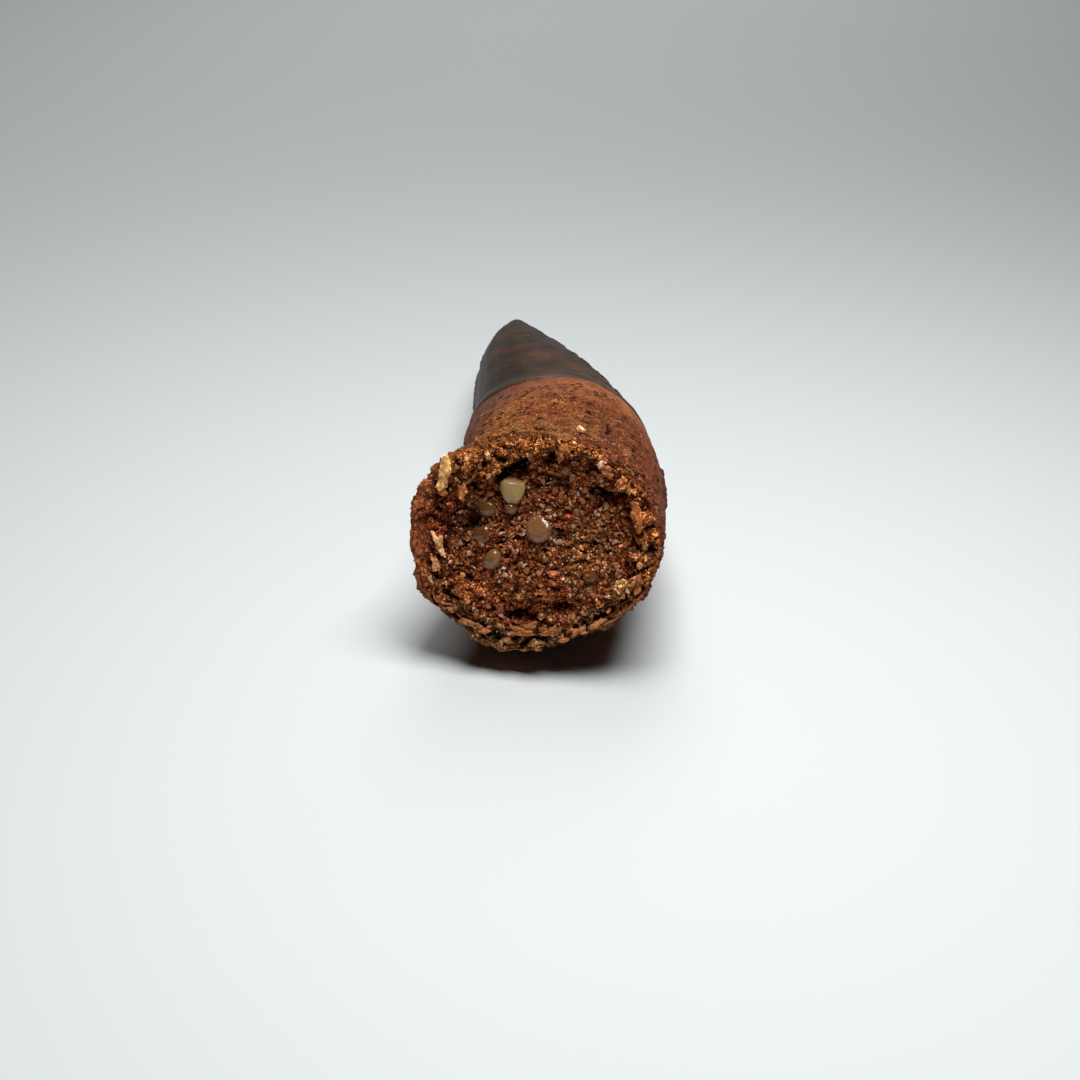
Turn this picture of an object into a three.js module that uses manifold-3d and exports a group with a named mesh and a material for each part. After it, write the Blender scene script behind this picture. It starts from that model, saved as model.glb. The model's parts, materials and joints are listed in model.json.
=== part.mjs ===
// A fossil spinosaur tooth, broken off at the root and lying on its side.
// The tip points along +Y and the broken root end faces -Y, a little upward.
// The root's pulp cavity is packed with red sandstone that holds pebbles of clear quartz.
// Sizes are in millimetres and angles round the tooth in degrees, from its +X side over its top.

import * as THREE from 'three';
import { mergeVertices } from 'three/addons/utils/BufferGeometryUtils.js';
import { SimplexNoise } from 'three/addons/math/SimplexNoise.js';
import Module from 'manifold-3d';

// Tooth as a whole
const toothLength = 68.6;
const footCentreX = 0.53; // middle of the footprint, which is the part's origin
const footCentreY = 32.3;
const settleDepth = 0.35; // worn off the belly, where the tooth lies on it
const restTolerance = 0.001;

// Girth: half the width at a fraction along is rootHalfWidth * (1 - along^2) ^ taperPower, plus the flare
const rootHalfWidth = 10.74;
const taperPower = 0.844;
const heightToWidth = 0.853;
const flareHeight = 1.7; // swelling of the root towards the break
const flareReach = 0.15;

// Sideways bend, as the distances of a cubic curve's four control points from the Y axis
const bendAtBreak = 0;
const bendInRoot = 8.2;
const bendInCrown = -4.1;
const bendAtTip = -2.3;

// Height of the underside, but for its belly: heelLift - sagDrop * along + tipLift * along^3
const heelLift = 3.28;
const sagDrop = 2.7;
const tipLift = 5.2;

// The broken face isn't square to the axis: it leans back at the top and at the +X side
const faceLeanUp = 0.153;
const faceLeanAside = 0.177;
const faceLeanReach = 0.08;

// Crown: enamel over the outer two thirds, with shallow flutes and two cutting edges
const crownStart = 22.5; // the enamel's edge on top of the tooth
const crownDrop = 2.6; // the edge lies this much further on at the cutting edges
const enamelThickness = 0.24;
const enamelEdgeWidth = 0.5;
const crownInset = 0.42; // the crown's slimming behind its thickened base
const fluteCount = 20;
const fluteDepth = 0.09;
const carinaHeight = 0.34;
const carinaHalfAngle = 7;

// Nicks in the cutting edges: side angle, fraction along, reach along, depth
const carinaNicks = [
  { angle: 0, along: 0.43, reach: 0.012, depth: 0.3 },
  { angle: 0, along: 0.6, reach: 0.014, depth: 0.42 },
  { angle: 0, along: 0.76, reach: 0.012, depth: 0.25 },
  { angle: 180, along: 0.52, reach: 0.014, depth: 0.3 },
  { angle: 180, along: 0.72, reach: 0.016, depth: 0.25 },
];

// Swellings of the root and of the crown's base: angle, fraction along, reaches, height
const baseSwellings = [
  { angle: -88, along: 0.33, reachAlong: 0.19, reachRound: 48, height: 3.1 }, // the belly that it lies on
  { angle: 0, along: 0.33, reachAlong: 0.07, reachRound: 28, height: 0.22 },
  { angle: 180, along: 0.37, reachAlong: 0.06, reachRound: 28, height: 0.7 },
  { angle: 180, along: 0.24, reachAlong: 0.06, reachRound: 35, height: -0.35 },
];

// Lobes and bites of the broken rim's outline: angle, reach round, part of the radius
const rimLobes = [
  { angle: -98, reach: 15, size: 0.098 },
  { angle: -112, reach: 5, size: 0.03 },
  { angle: -122, reach: 5, size: -0.05 },
  { angle: -147, reach: 14, size: 0.03 },
  { angle: -159, reach: 6, size: -0.035 },
  { angle: 150, reach: 20, size: 0.035 },
  { angle: -36, reach: 6, size: -0.03 },
  { angle: -60, reach: 14, size: -0.035 },
];
const rimLobeReach = 0.05;

// Wall of the root round the pulp cavity, at the break: the cavity's edge as part of the radius
const cavityEdge = 0.79;
const cavityLobes = [
  { angle: 58, reach: 30, size: 0.085 },
  { angle: -88, reach: 26, size: 0.09 },
  { angle: 125, reach: 26, size: -0.11 },
  { angle: -178, reach: 22, size: -0.1 },
];
const cavityLength = 0.46; // fraction of the tooth that the cavity reaches
const cavityTaper = 1.45; // 1 is a straight cone, more is fuller at the mouth

// Relief of the broken face, in parts of its half width and half height
const rimRelief = 0.32;
const rimGrain = 2.6; // length over which the relief changes
const rimFlakes = [
  { x: -0.72, y: 0.53, reach: 0.12, height: 0.7 },
  { x: -0.72, y: -0.18, reach: 0.1, height: 0.45 },
  { x: -0.55, y: 0.39, reach: 0.08, height: 0.4 },
  { x: 0.05, y: -0.97, reach: 0.16, height: 0.55 },
  { x: 0.8, y: -0.42, reach: 0.13, height: 0.4 },
  { x: 0.78, y: 0.3, reach: 0.1, height: 0.3 },
];

// Sandstone in the cavity
const fillGap = 0.32;
const fillDepthLow = 0.5; // how far its face lies behind the rim, at the bottom and at the top
const fillDepthHigh = 2.5;
const fillEdgeMargin = 0.004;
const fillRelief = 0.42;
const fillGrain = 3.1;
const fillHollows = [
  { x: -0.2, y: 0.66, reach: 0.13, depth: 1.8 },
  { x: 0.03, y: 0.72, reach: 0.1, depth: 1.0 },
  { x: 0.42, y: 0.45, reach: 0.12, depth: 1.1 },
  { x: -0.02, y: -0.72, reach: 0.12, depth: 1.3 },
  { x: 0.27, y: -0.62, reach: 0.1, depth: 0.9 },
  { x: -0.5, y: 0.06, reach: 0.12, depth: 0.8 },
  { x: 0.25, y: -0.42, reach: 0.2, depth: -0.7 },
  { x: -0.12, y: -0.1, reach: 0.22, depth: -0.6 },
];

// Quartz pebbles: centre in parts of the face, half sizes across, up and in depth, and how deep they sit
const pebbleGap = 0.3;
const pebbleWear = 0.12;
const pebbles = [
  { x: -0.21, y: 0.42, size: [1.22, 1.45, 1.2], depth: 1.6, turn: 20 },
  { x: 0.03, y: 0.09, size: [1.36, 1.42, 1.3], depth: 1.0, turn: 65 },
  { x: -0.39, y: 0.22, size: [0.92, 0.78, 0.85], depth: 1.7, turn: 10 },
  { x: -0.4, y: -0.03, size: [0.98, 0.85, 0.9], depth: 1.45, turn: 40 },
  { x: -0.3, y: -0.24, size: [1.1, 0.95, 1.0], depth: 0.85, turn: 75 },
  { x: 0.47, y: -0.28, size: [0.85, 0.8, 0.85], depth: 1.0, turn: 30 },
];

// Fineness of the bodies
const toothSegments = 64;
const fillSegments = 44;
const pebbleDetail = 1;

const degree = Math.PI / 180;
const up = new THREE.Vector3(0, 0, 1);
THREE.MathUtils.seededRandom(11);
const noise = new SimplexNoise({ random: () => THREE.MathUtils.seededRandom() });

// Bell-shaped weight: 1 at zero distance, fading over the reach
function bell(distance, reach) {
  return Math.exp(-((distance / reach) ** 2));
}

function angleBetween(a, b) {
  return THREE.MathUtils.euclideanModulo(a - b + 180, 360) - 180;
}

function sumOfLobes(lobes, angle) {
  return lobes.reduce((sum, lobe) => sum + lobe.size * bell(angleBetween(angle, lobe.angle), lobe.reach), 0);
}

function sumOfSpots(spots, x, y, amount) {
  return spots.reduce((sum, spot) => sum + spot[amount] * bell(Math.hypot(x - spot.x, y - spot.y), spot.reach), 0);
}

// Smooth lumps in three dimensions, between -1 and 1
function lumps(point, grain) {
  const scale = 1 / grain;
  return noise.noise3d(point.x * scale, point.y * scale, point.z * scale);
}

function halfWidth(along) {
  const taper = Math.max(1 - along * along, 0) ** taperPower;
  return rootHalfWidth * taper + flareHeight * Math.exp(-along / flareReach) * (1 - along);
}

// Centre of the section, a fraction of the way from the break to the tip
function axisPoint(along) {
  const rest = 1 - along;
  const bend = bendAtBreak * rest ** 3 + 3 * bendInRoot * along * rest ** 2
    + 3 * bendInCrown * along ** 2 * rest + bendAtTip * along ** 3;
  const underside = heelLift - sagDrop * along + tipLift * along ** 3;
  return new THREE.Vector3(bend, toothLength * along, heightToWidth * halfWidth(along) + underside);
}

function axisDirection(along) {
  const step = 0.004;
  const middle = THREE.MathUtils.clamp(along, step, 1 - 3 * step);
  return axisPoint(middle + step).sub(axisPoint(middle - step)).normalize();
}

// The section's half axes as vectors: aside to +X and up, both leaned with the broken face near the break
function sectionAxes(along) {
  const direction = axisDirection(along);
  const aside = new THREE.Vector3().crossVectors(direction, up).normalize();
  const above = new THREE.Vector3().crossVectors(aside, direction);
  const lean = Math.exp(-along / faceLeanReach);
  aside.addScaledVector(direction, lean * faceLeanAside).multiplyScalar(halfWidth(along));
  above.addScaledVector(direction, lean * faceLeanUp).multiplyScalar(halfWidth(along) * heightToWidth);
  return { aside, above };
}

// A point of the section: x and y are parts of its half width and half height
function sectionPoint(along, x, y) {
  const { aside, above } = sectionAxes(along);
  return axisPoint(along).addScaledVector(aside, x).addScaledVector(above, y);
}

function faceNormal() {
  const { aside, above } = sectionAxes(0);
  return new THREE.Vector3().crossVectors(aside, above).normalize();
}

const outOfFace = faceNormal();
const intoTooth = axisDirection(0);

// Distance of the enamel's edge from the break, at an angle round the tooth
function crownEdge(angle) {
  return crownStart + crownDrop * Math.cos(angle * degree) ** 2;
}

function nickDepth(along, angle) {
  return carinaNicks
    .filter((nick) => Math.abs(angleBetween(angle, nick.angle)) < 90)
    .reduce((sum, nick) => sum + nick.depth * bell(along - nick.along, nick.reach), 0);
}

// Height of the crown's finish over the bare tooth: enamel, flutes and cutting edges
function crownRelief(along, angle) {
  const pastEdge = (toothLength * along - crownEdge(angle)) / enamelEdgeWidth;
  const enamel = enamelThickness * THREE.MathUtils.smoothstep(pastEdge, -0.5, 0.5);
  const onCrown = THREE.MathUtils.smoothstep(pastEdge, 0, 8) * THREE.MathUtils.smoothstep(1 - along, 0, 0.1);
  const fromCarina = Math.abs(angleBetween(2 * angle, 0)) / 2;
  const flutes = fluteDepth * Math.cos(fluteCount * angle * degree) * (1 - bell(fromCarina, 14));
  const carina = (carinaHeight - nickDepth(along, angle)) * bell(fromCarina, carinaHalfAngle);
  return enamel + onCrown * (flutes + carina - crownInset);
}

function swellings(along, angle) {
  return baseSwellings.reduce((sum, swelling) => sum + swelling.height
    * bell(along - swelling.along, swelling.reachAlong)
    * bell(angleBetween(angle, swelling.angle), swelling.reachRound), 0);
}

// Outer surface of the tooth, with the lumps of the weathered root fading towards the crown
function outerPoint(along, angle) {
  const lobes = 1 + sumOfLobes(rimLobes, angle) * Math.exp(-along / rimLobeReach);
  const reach = lobes + (swellings(along, angle) + crownRelief(along, angle)) / Math.max(halfWidth(along), 1);
  const point = sectionPoint(along, reach * Math.cos(angle * degree), reach * Math.sin(angle * degree));
  const outward = point.clone().sub(axisPoint(along)).normalize();
  const weathering = 0.2 * Math.exp(-along / 0.2);
  return point.addScaledVector(outward, weathering * lumps(point, rimGrain));
}

// Half size of the cavity as part of the section, shrinking to nothing at its end
function cavityReach(along, angle) {
  const left = Math.max(1 - (along / cavityLength) ** cavityTaper, 0);
  return (cavityEdge + sumOfLobes(cavityLobes, angle)) * left;
}

function cavityPoint(along, angle, gap) {
  const reach = Math.max(cavityReach(along, angle) - gap / (halfWidth(along) * heightToWidth), 0);
  return sectionPoint(along, reach * Math.cos(angle * degree), reach * Math.sin(angle * degree));
}

// Broken face of the root wall, between the cavity's edge (part 0) and the outer surface (part 1)
function rimPoint(part, angle) {
  const worn = 0.35 + 0.75 * Math.max(Math.sin(angle * degree), 0);
  const outer = 1 + sumOfLobes(rimLobes, angle);
  const reach = THREE.MathUtils.lerp(cavityReach(0, angle), outer, part);
  const x = reach * Math.cos(angle * degree);
  const y = reach * Math.sin(angle * degree);
  const point = sectionPoint(0, x, y);
  const relief = rimRelief * lumps(point, rimGrain) + sumOfSpots(rimFlakes, x, y, 'height');
  const rounding = worn * Math.max(part - 0.55, 0) ** 2 / 0.2;
  return point.addScaledVector(outOfFace, relief - rounding);
}

// How far the sandstone's face lies behind the broken rim, at parts x and y of the face
function fillDepth(x, y) {
  const slope = THREE.MathUtils.smoothstep(y, -0.6, 0.75);
  const relief = fillRelief * lumps(sectionPoint(0, x, y), fillGrain);
  const depth = THREE.MathUtils.lerp(fillDepthLow, fillDepthHigh, slope) - relief;
  return depth + sumOfSpots(fillHollows, x, y, 'depth');
}

function fillFacePoint(x, y) {
  return sectionPoint(0, x, y).addScaledVector(intoTooth, fillDepth(x, y));
}

// Edge of the sandstone's face, clear of the cavity's wall at the depth where the face meets it
function fillEdge(angle) {
  const mouth = cavityReach(0, angle);
  const depth = fillDepth(mouth * Math.cos(angle * degree), mouth * Math.sin(angle * degree));
  const along = Math.max(depth, 0) / toothLength + fillEdgeMargin;
  const narrowing = halfWidth(along) / halfWidth(0);
  return cavityReach(along, angle) * narrowing - fillGap / (halfWidth(0) * heightToWidth);
}

// Lofts a closed body through rings, each a function of the angle; the first and last close to a point
function loft(rings, segments) {
  const last = rings.length - 1;
  const profile = rings.map((ring, i) => new THREE.Vector2(i === 0 || i === last ? 0 : 1, i));
  const geometry = new THREE.LatheGeometry(profile, segments);
  const position = geometry.attributes.position;
  for (let i = 0; i < position.count; i += 1) {
    const angle = Math.atan2(position.getX(i), position.getZ(i)) / degree;
    const point = rings[Math.round(position.getY(i))](angle);
    position.setXYZ(i, point.x - footCentreX, point.y - footCentreY, Math.max(point.z - settleDepth, 0));
  }
  return weld(geometry);
}

function weld(geometry) {
  geometry.deleteAttribute('normal');
  geometry.deleteAttribute('uv');
  return mergeVertices(geometry, restTolerance);
}

// Rings of the tooth, from the tip over the outside, round the broken rim and down the cavity
function toothRings() {
  const rings = [];
  const crownFractions = [1, 0.985, 0.955, 0.915, 0.865, 0.81, 0.75, 0.69, 0.63, 0.57, 0.51, 0.46, 0.42];
  crownFractions.forEach((along) => rings.push((angle) => outerPoint(along, angle)));
  const edgeOffsets = [2.0, 0.8, 0.3, -0.3, -0.8];
  edgeOffsets.forEach((offset) => {
    rings.push((angle) => outerPoint((crownEdge(angle) + offset) / toothLength, angle));
  });
  const rootFractions = [0.29, 0.25, 0.21, 0.175, 0.14, 0.11, 0.085, 0.062, 0.042, 0.026, 0.013];
  rootFractions.forEach((along) => rings.push((angle) => outerPoint(along, angle)));
  const rimParts = [1, 0.84, 0.66, 0.44, 0.2, 0];
  rimParts.forEach((part) => rings.push((angle) => rimPoint(part, angle)));
  const cavityFractions = [0.015, 0.035, 0.06, 0.1, 0.17, 0.25, 0.34, 0.42, cavityLength];
  cavityFractions.forEach((along) => rings.push((angle) => cavityPoint(along, angle, 0)));
  return rings;
}

// Rings of the sandstone, from the cavity's end along its wall, and over the face to its middle
function fillRings() {
  const rings = [() => axisPoint(0.435)];
  const bodyFractions = [0.41, 0.36, 0.3, 0.24, 0.18, 0.13, 0.09];
  bodyFractions.forEach((along) => rings.push((angle) => cavityPoint(along, angle, fillGap)));
  const faceParts = [1, 0.94, 0.84, 0.72, 0.6, 0.48, 0.36, 0.24, 0.12, 0];
  faceParts.forEach((part) => rings.push((angle) => {
    const reach = part * fillEdge(angle);
    return fillFacePoint(reach * Math.cos(angle * degree), reach * Math.sin(angle * degree));
  }));
  return rings;
}

// A worn quartz pebble: a ball pulled to its three half sizes and faceted by rounded lumps
function pebbleGeometry(pebble, growth) {
  const geometry = weld(new THREE.IcosahedronGeometry(1, pebbleDetail));
  const position = geometry.attributes.position;
  const seat = sectionPoint(0, pebble.x, pebble.y).addScaledVector(outOfFace, -pebble.depth);
  const across = sectionAxes(0).aside.normalize();
  const turned = new THREE.Matrix4()
    .makeBasis(across, new THREE.Vector3().crossVectors(outOfFace, across), outOfFace)
    .multiply(new THREE.Matrix4().makeRotationZ(pebble.turn * degree));
  for (let i = 0; i < position.count; i += 1) {
    const point = new THREE.Vector3().fromBufferAttribute(position, i);
    const wear = 1 + pebbleWear * noise.noise3d(point.x + pebble.x * 9, point.y + pebble.y * 9, point.z);
    point.multiplyScalar(wear);
    point.x *= pebble.size[0] + growth;
    point.y *= pebble.size[1] + growth;
    point.z *= pebble.size[2] + growth;
    point.applyMatrix4(turned).add(seat);
    position.setXYZ(i, point.x - footCentreX, point.y - footCentreY, point.z - settleDepth);
  }
  return geometry;
}

const wasm = await Module();
wasm.setup();

function solidOf(geometry) {
  const vertProperties = new Float32Array(geometry.attributes.position.array);
  const triVerts = new Uint32Array(geometry.index.array);
  return new wasm.Manifold(new wasm.Mesh({ numProp: 3, vertProperties, triVerts }));
}

function geometryOf(solid) {
  const mesh = solid.getMesh();
  const geometry = new THREE.BufferGeometry();
  geometry.setAttribute('position', new THREE.BufferAttribute(new Float32Array(mesh.vertProperties), 3));
  geometry.setIndex(new THREE.BufferAttribute(new Uint32Array(mesh.triVerts), 1));
  return geometry;
}

function sandstoneGeometry() {
  let solid = solidOf(loft(fillRings(), fillSegments));
  pebbles.forEach((pebble) => {
    solid = solid.subtract(solidOf(pebbleGeometry(pebble, pebbleGap)));
  });
  return geometryOf(solid);
}

function piece(name, geometry, color, roughness) {
  const material = new THREE.MeshStandardMaterial({ color, roughness, metalness: 0 });
  const mesh = new THREE.Mesh(geometry, material);
  mesh.name = name;
  return mesh;
}

const fossil = new THREE.Group();
fossil.add(piece('tooth', loft(toothRings(), toothSegments), 0x8a563a, 0.62));
fossil.add(piece('sandstone_fill', sandstoneGeometry(), 0x5e3420, 0.9));
pebbles.forEach((pebble, i) => {
  fossil.add(piece(`quartz_pebble_${i + 1}`, pebbleGeometry(pebble, 0), 0xa68a5c, 0.15));
});

export default fossil;
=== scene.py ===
import json
import math
import random

import bmesh
import bpy
import numpy as np
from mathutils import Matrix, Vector

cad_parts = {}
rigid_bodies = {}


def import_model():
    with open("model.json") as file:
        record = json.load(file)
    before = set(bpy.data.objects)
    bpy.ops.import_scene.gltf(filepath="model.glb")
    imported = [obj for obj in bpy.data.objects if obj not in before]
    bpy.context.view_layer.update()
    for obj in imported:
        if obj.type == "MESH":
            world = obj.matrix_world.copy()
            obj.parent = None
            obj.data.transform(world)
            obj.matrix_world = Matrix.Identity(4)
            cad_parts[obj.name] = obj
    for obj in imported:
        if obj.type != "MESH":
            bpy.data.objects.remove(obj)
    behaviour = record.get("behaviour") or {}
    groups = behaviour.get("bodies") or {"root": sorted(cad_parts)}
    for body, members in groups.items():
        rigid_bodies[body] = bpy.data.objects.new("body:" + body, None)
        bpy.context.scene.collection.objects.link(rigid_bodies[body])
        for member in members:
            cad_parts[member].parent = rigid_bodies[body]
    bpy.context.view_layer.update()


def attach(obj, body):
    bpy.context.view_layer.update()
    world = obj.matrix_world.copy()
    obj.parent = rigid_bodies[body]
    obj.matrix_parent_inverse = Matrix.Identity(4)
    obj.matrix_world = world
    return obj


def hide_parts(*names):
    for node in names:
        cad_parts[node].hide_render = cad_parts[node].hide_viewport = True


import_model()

# Unless a note says otherwise, lengths are millimetres and angles are degrees round the tooth,
# from its +X side over its top. The tip points along +Y and the broken end faces -Y.

mm = 0.001
print("frame loaded")


toothShape = {
    "length": 68.6,
    "footCentre": (0.53, 32.3),  # middle of the footprint, the frame's origin
    "settleDepth": 0.35,
    "rootHalfWidth": 10.74,
    "taperPower": 0.844,
    "heightToWidth": 0.853,
    "flareHeight": 1.7,
    "flareReach": 0.15,
    "bend": (0.0, 8.2, -4.1, -2.3),  # a cubic curve's control points, off the Y axis
    "heelLift": 3.28,
    "sagDrop": 2.7,
    "tipLift": 5.2,
    "faceLeanUp": 0.153,
    "faceLeanAside": 0.177,
    "faceLeanReach": 0.08,
    "crownStart": 24.1,
    "crownDrop": -1.8,
    "leftRise": (172, 43, 6.3),  # the enamel starts further on at this angle: angle, reach, rise
    "enamelThickness": 0.24,
    "crownInset": 0.42,
    "carinaHeight": 0.34,
    "carinaHalfAngle": 7,
    "fluteCount": 20,
    "fluteDepth": 0.09,
    # angle, fraction along, reach along, reach round, height
    "swellings": [(-88, 0.33, 0.19, 48, 3.1), (0, 0.33, 0.07, 28, 0.22),
                  (180, 0.37, 0.06, 28, 0.7), (180, 0.24, 0.06, 35, -0.35)],
    # angle, reach, part of the radius
    "rimLobes": [(-98, 15, 0.098), (-112, 5, 0.03), (-122, 5, 0.03), (-140, 9, 0.03), (-147, 14, 0.03),
                 (-159, 6, -0.035), (150, 20, 0.035), (-36, 6, -0.03), (-60, 14, -0.035)],
    "rimLobeReach": 0.05,
    "cavityEdge": 0.79,
    "cavityLobes": [(58, 30, 0.085), (-88, 26, 0.09), (125, 26, -0.11), (-178, 22, -0.1)],
    "cavityLength": 0.46,
    "cavityTaper": 1.45,
    # angle of the edge, fraction along, reach along, depth
    "nicks": [(0, 0.43, 0.012, 0.3), (0, 0.6, 0.014, 0.42), (0, 0.76, 0.012, 0.25),
              (180, 0.375, 0.008, 0.3), (180, 0.52, 0.014, 0.3), (180, 0.72, 0.016, 0.25)],
}


def bell(distance, reach):
    return np.exp(-(distance / reach) ** 2)


def smoothStep(value, low, high):
    t = np.clip((value - low) / (high - low), 0, 1)
    return t * t * (3 - 2 * t)


def angleBetween(a, b):
    return (a - b + 180) % 360 - 180


def towards(angle, at, reach):
    return bell(angleBetween(angle, at), reach)


def cosOf(angle):
    return np.cos(np.radians(angle))


def sinOf(angle):
    return np.sin(np.radians(angle))


def ringPoint(angle, radius, third):
    return np.stack([radius * cosOf(angle), radius * sinOf(angle), third], -1)


def sumOfLobes(lobes, angle):
    return sum(size * towards(angle, at, reach) for at, reach, size in lobes)


def unit(vectors):
    return vectors / np.linalg.norm(vectors, axis=-1, keepdims=True)


def halfWidth(along):
    t = toothShape
    taper = np.maximum(1 - along * along, 0) ** t["taperPower"]
    return t["rootHalfWidth"] * taper + t["flareHeight"] * np.exp(-along / t["flareReach"]) * (1 - along)


faceHalf = halfWidth(np.zeros(1))


def axisPoint(along):
    t = toothShape
    rest = 1 - along
    b = t["bend"]
    bend = b[0] * rest ** 3 + 3 * b[1] * along * rest ** 2 + 3 * b[2] * along ** 2 * rest + b[3] * along ** 3
    underside = t["heelLift"] - t["sagDrop"] * along + t["tipLift"] * along ** 3
    return np.stack([bend, t["length"] * along, t["heightToWidth"] * halfWidth(along) + underside], -1)


def axisDirection(along):
    step = 0.004
    middle = np.clip(along, step, 1 - 3 * step)
    return unit(axisPoint(middle + step) - axisPoint(middle - step))


def sectionAxes(along):
    direction = axisDirection(along)
    aside = unit(np.cross(direction, (0.0, 0.0, 1.0)))
    above = np.cross(aside, direction)
    lean = np.exp(-along / toothShape["faceLeanReach"])[..., None]
    width = halfWidth(along)[..., None]
    aside = (aside + lean * toothShape["faceLeanAside"] * direction) * width
    above = (above + lean * toothShape["faceLeanUp"] * direction) * width * toothShape["heightToWidth"]
    return aside, above


def sectionPoint(along, x, y):
    aside, above = sectionAxes(along)
    return axisPoint(along) + aside * np.asarray(x)[..., None] + above * np.asarray(y)[..., None]


faceAside, faceAbove = (v[0] for v in sectionAxes(np.zeros(1)))
outOfFace = unit(np.cross(faceAside, faceAbove))
intoTooth = axisDirection(np.zeros(1))[0]
faceCentre = axisPoint(np.zeros(1))[0]


def crownEdge(angle):
    t = toothShape
    ring = ringPoint(angle, 6, 0 * angle)
    wander = 0.3 * softNoise(ring, 3.1, 171) + 0.16 * softNoise(ring, 0.9, 172)
    side, reach, rise = t["leftRise"]
    return t["crownStart"] + t["crownDrop"] * cosOf(angle) ** 2 + rise * towards(angle, side, reach) + wander


def swell(along, angle):
    return sum(height * bell(along - at, reachAlong) * towards(angle, side, reachRound)
               for side, at, reachAlong, reachRound, height in toothShape["swellings"])


def outerPoint(along, angle, proud=0.0):
    lobes = 1 + sumOfLobes(toothShape["rimLobes"], angle) * np.exp(-along / toothShape["rimLobeReach"])
    reach = lobes + (swell(along, angle) + proud) / np.maximum(halfWidth(along), 1)
    return sectionPoint(along, reach * cosOf(angle), reach * sinOf(angle))


def raggedness(angle):
    ring = ringPoint(angle, 9, 0 * angle)
    return 0.06 * softNoise(ring, 2.3, 151) + 0.05 * softNoise(ring, 0.9, 152)


def cavityReach(along, angle):
    t = toothShape
    left = np.maximum(1 - (along / t["cavityLength"]) ** t["cavityTaper"], 0)
    mouth = t["cavityEdge"] + sumOfLobes(t["cavityLobes"], angle)
    return (mouth + raggedness(angle) * np.exp(-along / 0.1)) * left


def cavityPoint(along, angle, gap=0.0):
    small = halfWidth(along) * toothShape["heightToWidth"]
    reach = np.maximum(cavityReach(along, angle) - gap / small, 0)
    return sectionPoint(along, reach * cosOf(angle), reach * sinOf(angle))


def toFrame(points):
    moved = np.array(points, float)
    moved[..., 0] -= toothShape["footCentre"][0]
    moved[..., 1] -= toothShape["footCentre"][1]
    moved[..., 2] = np.maximum(moved[..., 2] - toothShape["settleDepth"], 0)
    return moved * mm


def latticeRandom(cell, seed):
    x, y, z = (cell[..., i] for i in range(3))
    h = (x * 374761393 + y * 668265263 + z * 1440662683 + seed * 974634777) & 0xffffffff
    h = ((h ^ (h >> 15)) * 2246822519) & 0xffffffff
    h = ((h ^ (h >> 13)) * 3266489917) & 0xffffffff
    return (h ^ (h >> 16)) / 0xffffffff


def latticeVector(cell, seed):
    return np.stack([latticeRandom(cell, seed + k) for k in range(3)], -1)


noiseGain = 1.6  # most of the noise then lies within 0.7 of zero


def softNoise(points, grain, seed):
    p = np.asarray(points) / grain
    cell = np.floor(p).astype(np.int64)
    f = p - cell
    u = f * f * f * (f * (f * 6 - 15) + 10)
    total = 0
    for corner in np.ndindex(2, 2, 2):
        offset = np.array(corner)
        at = cell + offset
        slope = latticeVector(at, seed) * 2 - 1
        weight = np.prod(np.where(offset == 1, u, 1 - u), axis=-1)
        total = total + weight * np.sum(slope * (f - offset), axis=-1)
    return total * noiseGain


def cellNoise(points, grain, seed):
    p = np.asarray(points) / grain
    cell = np.floor(p).astype(np.int64)
    first = np.full(p.shape[:-1], 9.0)
    mark = np.zeros(p.shape[:-1])
    for step in np.ndindex(3, 3, 3):
        at = cell + np.array(step) - 1
        distance = np.linalg.norm(p - at - latticeVector(at, seed), axis=-1)
        nearer = distance < first
        mark = np.where(nearer, latticeRandom(at, seed + 7), mark)
        first = np.where(nearer, distance, first)
    return first, mark


def brokenNoise(points, grain, seed, tilt=0.9):
    p = np.asarray(points) / grain
    bend = np.stack([softNoise(points, grain * 0.8, seed + 20 + k) for k in range(3)], -1)
    p = p + 0.22 * bend
    cell = np.floor(p).astype(np.int64)
    first = np.full(p.shape[:-1], 9.0)
    second = np.full(p.shape[:-1], 9.0)
    height = np.zeros(p.shape[:-1])
    for step in np.ndindex(3, 3, 3):
        at = cell + np.array(step) - 1
        away = p - at - latticeVector(at, seed)
        distance = np.linalg.norm(away, axis=-1)
        nearer = distance < first
        second = np.where(nearer, first, np.minimum(second, distance))
        slope = latticeVector(at, seed + 3) - 0.5
        block = latticeRandom(at, seed + 7) - 0.5 + tilt * np.sum(away * slope, axis=-1)
        height = np.where(nearer, block, height)
        first = np.where(nearer, distance, first)
    return height, first, second - first


def addObject(name, data):
    item = bpy.data.objects.new(name, data)
    bpy.context.scene.collection.objects.link(item)
    return item


def colourLayer(mesh, label, values):
    layer = mesh.attributes.new(label, "FLOAT_COLOR", "POINT")
    full = np.concatenate([values, np.ones((len(values), 1))], axis=1)
    layer.data.foreach_set("color", full.astype(np.float32).ravel())


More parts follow.
